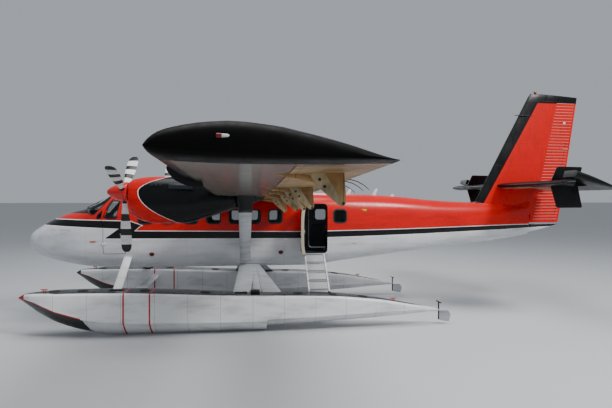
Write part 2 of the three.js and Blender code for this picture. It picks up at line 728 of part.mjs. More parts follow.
function frontLeg() {
  const leg = fairedLeg(vector(2570, 760, 1640), vector(2560, 1900, deckAt(2560) - 40), 190, 130, 200);
  return leg.subtract(floatAbove);
}

function rearLeg() {
  const main = fairedLeg(vector(5500, 630, 1385), vector(5360, 1890, deckAt(5360) - 40), 400, 170, 410);
  const middle = fairedLeg(vector(5680, 640, 1385), vector(5730, 1890, deckAt(5730) - 40), 100, 90, 210);
  const brace = fairedLeg(vector(5745, 645, 1385), vector(6095, 1890, deckAt(6095) - 40), 120, 90, 490);
  return joined([main, middle, brace]).subtract(floatAbove);
}

function spreader(x, height, chord) {
  const half = floatLine;
  const bar = loft([-half, half].map((y) => [[-0.5, 0], [-0.38, 0.36], [-0.15, 0.5], [0.2, 0.34], [0.5, 0.05],
    [0.5, -0.05], [0.2, -0.34], [-0.15, -0.5], [-0.38, -0.36]]
    .map(([along, up]) => vector(x + along * chord, y, height + up * 90))));
  const clear = [moved(floatHull, 0, -seat, 0), mirrored(moved(floatHull, 0, -seat, 0))];
  const [inner] = [bar.intersect(block(0, far, -floatLine + 200, floatLine - 200, 0, far))];
  return cutBy(inner, clear);
}

const waterRudder = { x: 10118, top: 560, bottom: 60, chord: 330 };

function waterRudderSolid() {
  const { x, top, bottom, chord } = waterRudder;
  const blade = sidePlate([[x + 16, top - 225], [x + chord * 0.8, top - 225], [x + chord, top - 330],
    [x + chord * 0.85, bottom], [x + 40, bottom + 40]], floatLine - 8, floatLine + 8);
  const post = rod(vector(x + 20, floatLine, bottom + 60), vector(x + 20, floatLine, top), 17, 10);
  const tiller = block(x + 5, x + 35, floatLine - 150, floatLine + 150, top - 22, top);
  return joined([blade, post, tiller]);
}

// The stern fitting that carries the water rudder's post, part of the float
function sternBracket() {
  const { x } = waterRudder;
  const lug = block(9900, x + 50, floatLine - 34, floatLine + 34, 345, 375);
  return lug.subtract(rod(vector(x + 20, floatLine, 0), vector(x + 20, floatLine, 900), 18.2, 16));
}

function floatSolid() {
  const cleats = [1030, 9000].map((x) => {
    const deck = deckAt(x);
    return joined([
      block(x - 70, x + 70, floatLine - 14, floatLine + 14, deck + 45, deck + 68),
      block(x - 30, x - 14, floatLine - 10, floatLine + 10, deck - 20, deck + 50),
      block(x + 14, x + 30, floatLine - 10, floatLine + 10, deck - 20, deck + 50),
    ]);
  });
  return joined([floatHull, ...cleats, sternBracket()]);
}

// Boarding ladder from the port float's deck to the door sill
function ladder() {
  const [x0, x1] = [6985, 7475];
  const foot = { y: -1760, z: deckAt(7200) };
  const head = { y: -900, z: 1620 };
  const rails = [x0, x1].map((x) => rod(vector(x, foot.y, foot.z - 20), vector(x, head.y, head.z), 22, 6));
  const rungs = [0.04, 0.27, 0.5, 0.73, 0.96].map((share) => {
    const y = foot.y + (head.y - foot.y) * share;
    const z = foot.z + (head.z - foot.z) * share;
    return block(x0, x1, y - 35, y + 35, z - 12, z + 12);
  });
  const hooks = [x0, x1].map((x) => block(x - 15, x + 15, head.y - 10, -780, head.z - 45, head.z - 15));
  const deck = mirrored(floatAbove);
  return cutBy(joined([...rails, ...rungs, ...hooks]), [deck, ...outsideOf(seat)]);
}

// Cabin fittings
function seatBody(x, y, width, height) {
  const base = cabin.floor;
  return joined([
    block(x, x + 430, y - width / 2, y + width / 2, base + 330, base + 450),
    sidePlate([[x + 380, base + 400], [x + 470, base + 400], [x + 580, base + height], [x + 490, base + height]],
      y - width / 2, y + width / 2),
  ]);
}

function crewSeat(side) {
  const base = cabin.floor;
  const pedestal = block(2110, 2390, side * 400 - 110, side * 400 + 110, base + seat, base + 350);
  return joined([seatBody(1990, side * 400, 440, 1050), pedestal]);
}

// Legs on short lengths of floor rail, three across
function seatLegs(x, from, to) {
  const base = cabin.floor;
  return [-560, 120, 560].flatMap((y) => [
    block(x, to + 40, y - 20, y + 20, base + seat, base + 30),
    block(from, to, y - 18, y + 18, base + 20, base + 340),
  ]);
}

// One seat to port and a double seat to starboard, joined by a bar across the aisle floor
function seatRow(x) {
  const crossBar = block(x + 180, x + 240, -560, 560, cabin.floor + seat, cabin.floor + 30);
  return joined([
    seatBody(x, -555, 400, 860),
    seatBody(x, 330, 800, 860),
    ...seatLegs(x, x + 60, x + 360),
    crossBar,
  ]);
}

function rearBench() {
  const crossBar = block(7800, 7860, -560, 560, cabin.floor + seat, cabin.floor + 30);
  return joined([seatBody(7680, 0, 1240, 860), ...seatLegs(7680, 7740, 7940), crossBar]);
}

function cockpitBulkhead() {
  const plate = fuselage(cabin.front, cabin.front + 30, wall + seat)
    .intersect(block(0, far, -far, far, cabin.floor + seat, cabin.ceiling - seat));
  return plate.subtract(block(0, far, -260, 260, 0, cabin.ceiling - 120));
}

function instrumentPanel() {
  const face = sidePlate([[1440, 2080], [1530, 2080], [1500, 2600], [1330, 2600]], -600, 600);
  const pedestal = block(1450, 1640, -170, 170, cabin.floor + seat, 2100);
  return joined([face.intersect(fuselage(noseJoint, 1800, wall + 20)), pedestal]);
}

function controlColumn() {
  const base = cabin.floor;
  const wheels = [-400, 400].flatMap((y) => [
    rod(vector(1790, y - 150, 2170), vector(1790, y - 110, 2330), 16, 6),
    rod(vector(1790, y + 150, 2170), vector(1790, y + 110, 2330), 16, 6),
  ]);
  return joined([
    block(1700, 1780, -45, 45, base + seat, base + 30),
    rod(vector(1740, 0, base + 15), vector(1790, 0, 2180), 26, 8),
    rod(vector(1790, -550, 2180), vector(1790, 550, 2180), 18, 8),
    ...wheels,
  ]);
}

// The assembly
const airframe = new THREE.Group();
airframe.position.x = -overallLength / 2;

function add(name, solid, material, parent = airframe) {
  const mesh = new THREE.Mesh(geometryOf(solid), material.clone());
  mesh.name = name;
  parent.add(mesh);
  return mesh;
}

function addPair(name, solid, material, cutters = []) {
  add(`${name}_starboard`, cutBy(solid, cutters), material);
  add(`${name}_port`, cutBy(mirrored(solid), cutters), material);
}

// Fuselage: nose, belly with the floor on it, sides, roof and tail cone
const wingSpace = [wingBody(seat), mirrored(wingBody(seat))];
add('nose', outerSkin.intersect(block(-far, noseJoint - seat, -far, far, 0, far)), finish.red);
add('belly', outerSkin.intersect(block(noseJoint, cabin.rear - seat, -far, far, 0, cabin.floor)), finish.white);
add('cockpit_shell', cockpitShell(), finish.red);
add('cabin_side_port', cabinSide(-1), finish.red);
add('cabin_side_starboard', cabinSide(1), finish.red);
const roofBlank = outerSkin.intersect(block(cabin.front + seat, cabin.rear - seat, -far, far, cabin.ceiling, far));
add('cabin_roof', cutBy(roofBlank, wingSpace), finish.red);
add('tail_cone', tailCone(), finish.red);
add('rear_bulkhead', rearBulkhead(), finish.panel);
add('windscreen_port', windscreen(-1), finish.glass);
add('windscreen_starboard', windscreen(1), finish.glass);
add('cockpit_bulkhead', cockpitBulkhead(), finish.panel);
add('instrument_panel', instrumentPanel(), finish.panel);
add('control_column', controlColumn(), finish.black);
add('crew_seat_port', crewSeat(-1), finish.leather);
add('crew_seat_starboard', crewSeat(1), finish.leather);
[2960, 3740, 4520, 5300, 6080].forEach((x, i) => add(`seat_row_${i + 1}`, seatRow(x), finish.leather));
add('rear_bench', rearBench(), finish.leather);

// Doors: the port cabin door stands open on its forward hinge
add('crew_door_port', crewDoorSolid(-1), finish.red);
add('crew_door_starboard', crewDoorSolid(1), finish.red);
add('cabin_door_starboard', passengerDoor(starboardDoor, 1), finish.red);
const portPin = doorPin(portDoor);
const openDoor = new THREE.Group();
openDoor.position.set(portPin.x, -portPin.y, 0);
openDoor.rotation.z = -THREE.MathUtils.degToRad(portDoorOpen);
airframe.add(openDoor);
add('cabin_door_port', moved(passengerDoor(portDoor, -1), -portPin.x, portPin.y, 0), finish.red, openDoor);

// Wing with its fences, trailing surfaces and struts
addPair('wing', wingHalf(), finish.grey);
addPair('flap', trailingSurface(flapSpan, armStations.flap), finish.cream);
addPair('aileron', trailingSurface(aileronSpan, armStations.aileron), finish.cream);
addPair('wing_fence', wingFence(), finish.black);
addPair('wing_strut', wingStrut(), finish.grey, outsideOf(seat));

// Engines
addPair('nacelle', nacelle(), finish.black);
addPair('engine', engine(), finish.iron);
const propellerBlank = propellerSolid();
[['starboard', 1, propeller.starboardTurn], ['port', -1, propeller.portTurn]].forEach(([name, side, turn]) => {
  const mesh = add(`propeller_${name}`, propellerBlank, finish.black);
  mesh.position.set(propeller.x, side * engineLine.y, engineLine.z);
  mesh.rotation.x = THREE.MathUtils.degToRad(turn);
});

// Tail
add('fin', fin(), finish.red);
add('rudder', rudder(), finish.red);
addPair('tailplane', tailplaneHalf(), finish.black);
addPair('elevator', elevatorSolid, finish.black);
addPair('finlet', finletPlate(), finish.black);

// Floats and what carries them
addPair('float', floatSolid(), finish.white);
addPair('front_leg', frontLeg(), finish.white, outsideOf(seat));
addPair('rear_leg', rearLeg(), finish.grey, outsideOf(seat));
add('front_spreader', spreader(2850, 800, 250), finish.grey);
add('rear_spreader', spreader(6050, 700, 250), finish.grey);
addPair('water_rudder', waterRudderSolid(), finish.grey);
add('ladder', ladder(), finish.metal);

const floatplane = new THREE.Group();
floatplane.add(airframe);

export default floatplane;
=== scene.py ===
# Looks of a twin-engined high-wing floatplane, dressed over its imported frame.
import math

import bmesh
import bpy
from mathutils import Matrix, Vector


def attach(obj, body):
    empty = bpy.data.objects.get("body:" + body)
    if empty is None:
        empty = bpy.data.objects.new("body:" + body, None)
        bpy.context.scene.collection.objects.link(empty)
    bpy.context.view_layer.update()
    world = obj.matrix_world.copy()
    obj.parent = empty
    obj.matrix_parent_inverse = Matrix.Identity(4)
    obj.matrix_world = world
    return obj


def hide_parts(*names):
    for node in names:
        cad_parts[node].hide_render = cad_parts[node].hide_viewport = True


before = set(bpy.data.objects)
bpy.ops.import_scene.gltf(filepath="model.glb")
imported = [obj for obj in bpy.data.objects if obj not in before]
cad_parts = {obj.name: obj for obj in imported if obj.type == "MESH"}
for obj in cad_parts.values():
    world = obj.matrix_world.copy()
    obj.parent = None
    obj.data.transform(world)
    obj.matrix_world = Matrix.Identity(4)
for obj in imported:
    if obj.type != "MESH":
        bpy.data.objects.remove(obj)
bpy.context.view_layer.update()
noseTip = 7.545  # metres from the nose tip to the middle of the aircraft
sides = {"port": -1, "starboard": 1}
print("frame loaded:", len(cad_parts), "nodes")


# Small tools
def stationAt(x):
    # metres aft of the middle of the aircraft, from millimetres aft of the nose tip
    return x / 1000 - noseTip


def at(x, y, z):
    # millimetres aft of the nose tip, to starboard and above the keels
    return Vector((stationAt(x), y / 1000, z / 1000))


def toLinear(hexColour):
    parts = [int(hexColour[i:i + 2], 16) / 255 for i in (1, 3, 5)]
    return tuple(c / 12.92 if c <= 0.04045 else ((c + 0.055) / 1.055) ** 2.4 for c in parts) + (1.0,)


def addNode(tree, kind, inputs=None, **settings):
    # an input is a link, a field, a hex colour or a plain value
    node = tree.nodes.new(kind)
    for key, value in settings.items():
        setattr(node, key, value)
    for key, value in (inputs or {}).items():
        value = getattr(value, "socket", value)
        if isinstance(value, bpy.types.NodeSocket):
            tree.links.new(value, node.inputs[key])
        else:
            node.inputs[key].default_value = toLinear(value) if str(value).startswith("#") else value
    return node


class Field:
    # a value that changes over a surface: every sign between two of them adds its node
    def __init__(self, tree, socket):
        self.tree, self.socket = tree, socket

    def reckon(self, operation, *others):
        node = addNode(self.tree, "ShaderNodeMath", dict(enumerate((self, *others))), operation=operation)
        return Field(self.tree, node.outputs[0])

    def __add__(self, other):
        return self.reckon("ADD", other)

    def __sub__(self, other):
        return self.reckon("SUBTRACT", other)

    def __mul__(self, other):
        return self.reckon("MULTIPLY", other)

    def __or__(self, other):
        return self.reckon("MAXIMUM", other)

    def __gt__(self, other):
        return self.reckon("GREATER_THAN", other)

    def __lt__(self, other):
        return self.reckon("LESS_THAN", other)

    def __abs__(self):
        return self.reckon("ABSOLUTE")


def formAt(rows, station):
    # every column of a table at a station, smooth between its rows and never past them
    station = min(max(station, rows[0][0]), rows[-1][0])
    i = max(k for k in range(len(rows) - 1) if rows[k][0] <= station)
    step = rows[i + 1][0] - rows[i][0]
    t = (station - rows[i][0]) / step
    result = [station]
    for column in range(1, len(rows[0])):
        def slope(k):
            if k < 0 or k >= len(rows) - 1:
                return None
            return (rows[k + 1][column] - rows[k][column]) / (rows[k + 1][0] - rows[k][0])

        def tangent(k):
            before, after = slope(k - 1), slope(k)
            if before is None or after is None:
                return before if after is None else after
            return 0 if before * after <= 0 else 2 * before * after / (before + after)

        low, high = rows[i][column], rows[i + 1][column]
        a, b = tangent(i) * step, tangent(i + 1) * step
        result.append(low * (2 * t**3 - 3 * t**2 + 1) + a * (t**3 - 2 * t**2 + t)
                      + high * (3 * t**2 - 2 * t**3) + b * (t**3 - t**2))
    return result


def spread(start, end, count):
    return [start + (end - start) * i / (count - 1) for i in range(count)]


def finishMesh(piece, smoothBelow=35):
    mesh = piece.data
    mesh.shade_smooth()
    mesh.set_sharp_from_angle(angle=math.radians(smoothBelow))
    return piece


def newPiece(name, points, faces, material=None, smoothBelow=35):
    mesh = bpy.data.meshes.new(name)
    mesh.from_pydata([tuple(p) for p in points], [], faces)
    shape = bmesh.new()
    shape.from_mesh(mesh)
    bmesh.ops.remove_doubles(shape, verts=shape.verts, dist=1e-5)
    bmesh.ops.recalc_face_normals(shape, faces=shape.faces)
    shape.to_mesh(mesh)
    shape.free()
    piece = bpy.data.objects.new(name, mesh)
    bpy.context.scene.collection.objects.link(piece)
    if material:
        mesh.materials.append(material)
    return finishMesh(piece, smoothBelow)


def loftParts(rings, capStart=True, capEnd=True):
    count = len(rings[0])
    points = [point for ring in rings for point in ring]
    faces = []
    for i in range(len(rings) - 1):
        for j in range(count):
            a, b = i * count + j, i * count + (j + 1) % count
            faces.append((a, b, b + count, a + count))
    if capStart:
        faces.append(tuple(reversed(range(count))))
    if capEnd:
        faces.append(tuple(range(len(points) - count, len(points))))
    return points, faces


def loftPiece(name, rings, material=None, smoothBelow=35, capStart=True, capEnd=True):
    points, faces = loftParts(rings, capStart, capEnd)
    return newPiece(name, points, faces, material, smoothBelow)


def bakeModifiers(piece):
    # the modified shape becomes the piece's own plain mesh
    graph = bpy.context.evaluated_depsgraph_get()
    mesh = bpy.data.meshes.new_from_object(piece.evaluated_get(graph), preserve_all_data_layers=True,
                                           depsgraph=graph)
    old = piece.data
    piece.modifiers.clear()
    piece.data = mesh
    bpy.data.meshes.remove(old)
    mesh.name = piece.name
    return piece


def cutPiece(piece, cutters, operation="DIFFERENCE", keepCutters=False, smoothBelow=35):
    for cutter in cutters:
        modifier = piece.modifiers.new("cut", "BOOLEAN")
        modifier.operation = operation
        modifier.solver = "EXACT"
        modifier.material_mode = "TRANSFER"
        modifier.object = cutter
    bakeModifiers(piece)
    if not keepCutters:
        for cutter in cutters:
            bpy.data.objects.remove(cutter)
    return finishMesh(piece, smoothBelow)


def joinPieces(name, pieces):
    # several meshes become one, each with its own material
    shape = bmesh.new()
    materials = []
    for piece in pieces:
        first = len(shape.faces)
        shape.from_mesh(piece.data)
        shape.faces.ensure_lookup_table()
        places = []
        for material in piece.data.materials or [None]:
            if material not in materials:
                materials.append(material)
            places.append(materials.index(material))
        for face in shape.faces[first:]:
            face.material_index = places[min(face.material_index, len(places) - 1)]
    mesh = bpy.data.meshes.new(name)
    shape.to_mesh(mesh)
    shape.free()
    for material in materials:
        mesh.materials.append(material)
    for piece in pieces:
        bpy.data.objects.remove(piece)
    joined = bpy.data.objects.new(name, mesh)
    bpy.context.scene.collection.objects.link(joined)
    return joined


def roundEdges(piece, width, segments=2, angle=35):
    bevel = piece.modifiers.new("round", "BEVEL")
    bevel.width = width
    bevel.segments = segments
    bevel.limit_method = "ANGLE"
    bevel.angle_limit = math.radians(angle)
    bevel.harden_normals = False
    return finishMesh(bakeModifiers(piece), angle)


def sidePlate(name, outline, y0, y1, material=None, smoothBelow=35):
    # a flat outline of [x, z] in millimetres, from y0 to y1
    return loftPiece(name, [[at(x, y, z) for x, z in outline] for y in (y0, y1)], material, smoothBelow)


def planPlate(name, outline, z0, z1, material=None, smoothBelow=35):
    return loftPiece(name, [[at(x, y, z) for x, y in outline] for z in (z0, z1)], material, smoothBelow)


def boxPiece(name, low, high, material=None, edge=0):
    (x0, y0, z0), (x1, y1, z1) = low, high
    piece = sidePlate(name, [(x0, z0), (x1, z0), (x1, z1), (x0, z1)], y0, y1, material)
    return roundEdges(piece, edge / 1000) if edge else piece


def roundedOutline(x0, x1, z0, z1, corner, steps=6):
    centres = [(x1 - corner, z1 - corner), (x0 + corner, z1 - corner),
               (x0 + corner, z0 + corner), (x1 - corner, z0 + corner)]
    outline = []
    for quarter, (x, z) in enumerate(centres):
        for i in range(steps + 1):
            angle = (quarter + i / steps) * math.pi / 2
            outline.append((x + corner * math.cos(angle), z + corner * math.sin(angle)))
    return outline


def tube(name, path, radius, material=None, sides=16, radii=None):
    # a round bar through a list of places, closed at both ends
    rings = []
    for i, point in enumerate(path):
        before, after = path[max(i - 1, 0)], path[min(i + 1, len(path) - 1)]
        along = (after - before).normalized()
        across = along.cross(Vector((0, 0, 1)) if abs(along.z) < 0.9 else Vector((1, 0, 0))).normalized()
        up = across.cross(along)
        reach = (radii[i] if radii else radius) / 1000
        rings.append([point + across * (reach * math.cos(2 * math.pi * k / sides))
                      + up * (reach * math.sin(2 * math.pi * k / sides)) for k in range(sides)])
    return loftPiece(name, rings, material)


def turned(name, centre, axis, profile, material=None, sides=32):
    # a body of revolution: [along, radius] in millimetres from its centre
    axis = Vector(axis).normalized()
    across = axis.cross(Vector((0, 0, 1)) if abs(axis.z) < 0.9 else Vector((1, 0, 0))).normalized()
    up = axis.cross(across)
    rings = [[centre + axis * (along / 1000) + (across * math.cos(2 * math.pi * k / sides)
              + up * math.sin(2 * math.pi * k / sides)) * (max(radius, 0.2) / 1000) for k in range(sides)]
             for along, radius in profile]
    return loftPiece(name, rings, material)


def repeatOn(name, places, unit, material, turns=None, scales=None):
    # Geometry Nodes: one unit on each place, turned and scaled by the place's own attributes
    mesh = bpy.data.meshes.new(name)
    mesh.from_pydata([tuple(p) for p in places], [], [])
    for key, values, fallback in (("turn", turns, (0, 0, 0)), ("size", scales, (1, 1, 1))):
        attribute = mesh.attributes.new(key, "FLOAT_VECTOR", "POINT")
        values = values or [fallback] * len(places)
        attribute.data.foreach_set("vector", [part for value in values for part in value])
    piece = bpy.data.objects.new(name, mesh)
    bpy.context.scene.collection.objects.link(piece)
    tree = bpy.data.node_groups.new(name, "GeometryNodeTree")
    face = tree.interface
    face.new_socket("Geometry", in_out="INPUT", socket_type="NodeSocketGeometry")
    unitSocket = face.new_socket("Unit", in_out="INPUT", socket_type="NodeSocketObject")
    sizeSocket = face.new_socket("Size", in_out="INPUT", socket_type="NodeSocketFloat")
    finishSocket = face.new_socket("Finish", in_out="INPUT", socket_type="NodeSocketMaterial")
    face.new_socket("Geometry", in_out="OUTPUT", socket_type="NodeSocketGeometry")
    given = addNode(tree, "NodeGroupInput")
    shape = addNode(tree, "GeometryNodeObjectInfo", {"Object": given.outputs["Unit"]})
    turn = addNode(tree, "GeometryNodeInputNamedAttribute", {"Name": "turn"}, data_type="FLOAT_VECTOR")
    size = addNode(tree, "GeometryNodeInputNamedAttribute", {"Name": "size"}, data_type="FLOAT_VECTOR")
    scaled = addNode(tree, "ShaderNodeVectorMath", {0: size.outputs["Attribute"]}, operation="SCALE")
    tree.links.new(given.outputs["Size"], scaled.inputs["Scale"])
    euler = addNode(tree, "FunctionNodeEulerToRotation", {"Euler": turn.outputs["Attribute"]})
    points = addNode(tree, "GeometryNodeMeshToPoints", {"Mesh": given.outputs["Geometry"]})
    copies = addNode(tree, "GeometryNodeInstanceOnPoints", {
        "Points": points.outputs["Points"], "Instance": shape.outputs["Geometry"],
        "Rotation": euler.outputs["Rotation"], "Scale": scaled.outputs["Vector"]})
    real = addNode(tree, "GeometryNodeRealizeInstances", {"Geometry": copies.outputs["Instances"]})
    painted = addNode(tree, "GeometryNodeSetMaterial", {
        "Geometry": real.outputs["Geometry"], "Material": given.outputs["Finish"]})
    result = addNode(tree, "NodeGroupOutput")
    tree.links.new(painted.outputs["Geometry"], result.inputs["Geometry"])
    modifier = piece.modifiers.new("repeat", "NODES")
    modifier.node_group = tree
    modifier[unitSocket.identifier] = unit
    modifier[sizeSocket.identifier] = 1.0
    modifier[finishSocket.identifier] = material
    bakeModifiers(piece)
    bpy.data.objects.remove(unit)
    return finishMesh(piece)


def settle(piece, nodes=(), body="airframe"):
    # the piece rides on a body, in place of the named nodes
    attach(piece, body)
    if nodes:
        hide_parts(*nodes)
    return piece


def settleAll(name, parts, nodes=(), body="airframe", smoothBelow=35):
    # parts joined as one piece, then settled
    return settle(finishMesh(joinPieces(name, parts), smoothBelow), nodes, body)


# Finishes
def newSurface(name):
    material = bpy.data.materials.new(name)
    material.use_nodes = True
    tree = material.node_tree
    tree.nodes.clear()
    shader = addNode(tree, "ShaderNodeBsdfPrincipled")
    output = addNode(tree, "ShaderNodeOutputMaterial")
    tree.links.new(shader.outputs["BSDF"], output.inputs["Surface"])
    return material, tree, shader


def layered(tree, colour, layers, blend="MIX"):
    # colours laid over one another in turn, each as far as its own field says
    for share, over in layers:
        mix = addNode(tree, "ShaderNodeMix", {"Factor": share, 6: colour, 7: over},
                      data_type="RGBA", blend_type=blend)
        colour = mix.outputs[2]
    return colour


def lineHeight(x, corners):
    # height in metres of a line with corners at [x mm, z mm], as a function of the station
    height = corners[0][1] / 1000
    for (x0, z0), (x1, z1) in zip(corners, corners[1:]):
        rise = addNode(x.tree, "ShaderNodeMapRange", {
            "Value": x, "From Min": stationAt(x0), "From Max": stationAt(x1),
            "To Min": 0.0, "To Max": (z1 - z0) / 1000})
        height = Field(x.tree, rise.outputs["Result"]) + height
    return height


def seams(value, spacing, width, offset=0.0):
    # 1 on lines of a width, once every spacing along a coordinate
    return (value - offset).reckon("PINGPONG", spacing / 2) < width / 2


skinLook = {  # a painted skin, where its own look says nothing else
    "streaks": 2.4,  # streaks of grime to the metre, before the flow stretches them
    "flow": (0.5, 2.0, 3.0),  # how much they are squeezed along each axis
    "patches": 1.1,  # patches of faded paint to the metre
    "tone": 0.1, "shade": "#8f8f8f", "dirt": "#7d7263",
    "seams": (),  # axis, spacing, width and offset in metres
    "rivets": (),  # axis they follow, pitch, axis between rows, row spacing and offset
    "rivetHead": 0.011, "seamShade": 0.35, "bump": 0.25, "depth": 0.004, "specular": 0.5, "coat": 0.0,
}


def paintedSkin(name, colour, look, attribute=None):
    # Coating on riveted sheet: a colour over faint oil-canning, dark seams and streaked grime
    look = {**skinLook, **look}
    material, tree, shader = newSurface(name)
    if attribute:
        where = addNode(tree, "ShaderNodeAttribute", attribute_name=attribute).outputs["Vector"]
    else:
        where = addNode(tree, "ShaderNodeTexCoord").outputs["Object"]
    axes = [Field(tree, axis) for axis in addNode(tree, "ShaderNodeSeparateXYZ", {"Vector": where}).outputs]
    stretched = addNode(tree, "ShaderNodeMapping", {"Vector": where, "Scale": look["flow"]})
    streaks = addNode(tree, "ShaderNodeTexNoise", {
        "Vector": stretched.outputs["Vector"], "Scale": look["streaks"], "Detail": 7.0,
        "Roughness": 0.62}).outputs["Fac"]
    dirt = addNode(tree, "ShaderNodeMapRange", {
        "Value": streaks, "From Min": 0.46, "From Max": 0.78, "To Min": 0.0, "To Max": look["grime"]})
    soft = addNode(tree, "ShaderNodeTexNoise", {
        "Vector": where, "Scale": look["patches"], "Detail": 2.0}).outputs["Fac"]
    tone = addNode(tree, "ShaderNodeMapRange", {
        "Value": soft, "From Min": 0.3, "From Max": 0.7, "To Min": 0.0, "To Max": look["tone"]})
    finished = layered(tree, colour(tree, axes) if callable(colour) else colour, [
        (tone.outputs["Result"], look["shade"]), (dirt.outputs["Result"], look["dirt"])], "MULTIPLY")
    relief = streaks
    lines = [seams(axes[axis], spacing, width, offset) for axis, spacing, width, offset in look["seams"]]
    lines += [seams(axes[along], pitch, pitch * 0.28)
              * seams(axes[across], spacing, look["rivetHead"], offset)
              for along, pitch, across, spacing, offset in look["rivets"]]
    if lines:
        joints = lines[0]
        for line in lines[1:]:
            joints = joints | line
        finished = layered(tree, finished, [(joints * look["seamShade"], "#3a3a3a")], "MULTIPLY")
        relief = (Field(tree, soft) * 0.8 - joints).socket
    rough = addNode(tree, "ShaderNodeMapRange", {
        "Value": streaks, "From Min": 0.3, "From Max": 0.75,
        "To Min": look["rough"] * 0.75, "To Max": look["rough"] * 1.5})
    bump = addNode(tree, "ShaderNodeBump",
                   {"Height": relief, "Strength": look["bump"], "Distance": look["depth"]})
    for key, socket in {"Base Color": finished, "Roughness": rough.outputs["Result"],
                        "Normal": bump.outputs["Normal"]}.items():
        tree.links.new(socket, shader.inputs[key])
    shader.inputs["Specular IOR Level"].default_value = look["specular"]
    shader.inputs["Coat Weight"].default_value = look["coat"]
    shader.inputs["Coat Roughness"].default_value = 0.08
    return material


colours = {  # the livery
    "red": "#d3100b",
    "white": "#eeeff0",
    # greyer than the white: painted shade on the lower fuselage
    "shadedLowerWhite": "#dcdee1",
    "black": "#070708",
    "stripe": "#f2f2f2",
    "grey": "#a9abae",
    # oil-brown grey, darkened as painted shade under the wing
    "shadedUnderside": "#857d72",
    "boot": "#060607",
}

livery = {  # corners of the side bands, [mm aft of the nose, mm above the keels]
    "frontTop": [(0, 2548), (900, 2543), (2640, 2498), (2905, 2400)],
    "frontLow": [(0, 2410), (650, 2400), (2370, 2318), (2735, 2250), (2905, 2400)],
    "rearTop": [(2050, 2088), (2375, 2322), (2733, 2255), (3810, 2242), (6750, 2209), (9400, 2236),
                (10300, 2254), (12660, 2311), (14500, 2335)],
    "rearLow": [(2050, 2078), (2850, 2073), (6750, 2047), (9400, 2096), (10300, 2118), (12660, 2200),
                (14500, 2280)],
    "stripe": 0.017,  # metres
    "join": 2740,  # where the front band hands over to the rear one
    "ends": {"front": (0, 2905), "rear": (2050, 14600)},
    "glare": {"front": 1050, "rear": 1720, "low": 2.695},  # matt black panel ahead of the windscreen
}


def sideBands(tree, axes):
    # red above, a greyer white below that is painted shade of the lower fuselage, a black lightning band
    # between them with white pinstripes
    x, _, z = axes
    frontTop, frontLow, rearTop, rearLow = (
        lineHeight(x, livery[key]) for key in ("frontTop", "frontLow", "rearTop", "rearLow"))

    def within(start, end):
        return (x > stationAt(start)) * (x < stationAt(end))

    def between(low, high, start, end, grow=0.0):
        return (z > low - grow) * (z < high + grow) * within(start, end)

    stripe, join, glare = livery["stripe"], livery["join"], livery["glare"]
    front, rear = livery["ends"]["front"], livery["ends"]["rear"]
    aft = x > stationAt(join)
    edge = aft * rearTop + (aft < 0.5) * frontTop
    return layered(tree, colours["shadedLowerWhite"], [
        (z > edge, colours["red"]),
        (between(rearLow, rearTop, join, rear[1], stripe), colours["stripe"]),
        (between(frontLow, frontTop, front[0], front[1] + 40, stripe), colours["stripe"]),
        (between(rearLow, rearTop, *rear), colours["black"]),
        (between(frontLow, frontTop, *front), colours["black"]),
        (within(glare["front"], glare["rear"]) * (z > glare["low"]), "#0d0d0e")])


# Polyurethane over riveted sheet: wet-looking broad highlights, broken by faint seams and streaks
fuselageLook = {
    "grime": 0.4, "rough": 0.24, "tone": 0.16, "seamShade": 0.2, "coat": 0.05, "bump": 0.08, "specular": 0.35}
fuselagePaint = paintedSkin("glossPolyurethaneLivery", sideBands, {
    **fuselageLook, "seams": [(0, 1.22, 0.006, 0.12), (2, 0.94, 0.005, 0.12)],
    # rivet heads 40 mm apart, drawn a little large to show
    "rivets": [(2, 0.04, 0, 0.61, 0.14), (0, 0.04, 2, 0.47, 0.14)]})
doorPaint = paintedSkin("glossDoorLivery", sideBands, {  # the same coat, in place when the door is shut
    **fuselageLook, "seams": [(2, 0.94, 0.005, 0.12)], "rivets": [(0, 0.04, 2, 0.47, 0.14)]}, "closedPlace")
# Enamels: one even colour with a tight shine, dulled where rain has dragged the grime
glossBlack = paintedSkin("glossBlackEnamel", colours["black"], {
    "grime": 0.3, "rough": 0.3, "tone": 0.2, "specular": 0.25, "bump": 0.12,
    "seams": [(1, 0.9, 0.006, 0.2)], "seamShade": 0.5})
whitePaint = paintedSkin("glossWhiteEnamel", colours["white"], {
    "grime": 0.5, "rough": 0.25, "tone": 0.12, "shade": "#c0c4ca"})
greyPaint = paintedSkin("lightGreyEnamel", "#c3c6ca", {"grime": 0.5, "rough": 0.3, "tone": 0.2})
redPaint = paintedSkin("glossRedEnamel", colours["red"],
                       {"grime": 0.35, "rough": 0.2, "tone": 0.12, "coat": 0.1})
# Woven vinyl: matt and slightly uneven, so that the cabin stays dark
cabinLining = paintedSkin("wovenVinylLining", "#5d6064",
                          {"grime": 0.15, "rough": 0.7, "bump": 0.3, "depth": 0.002})


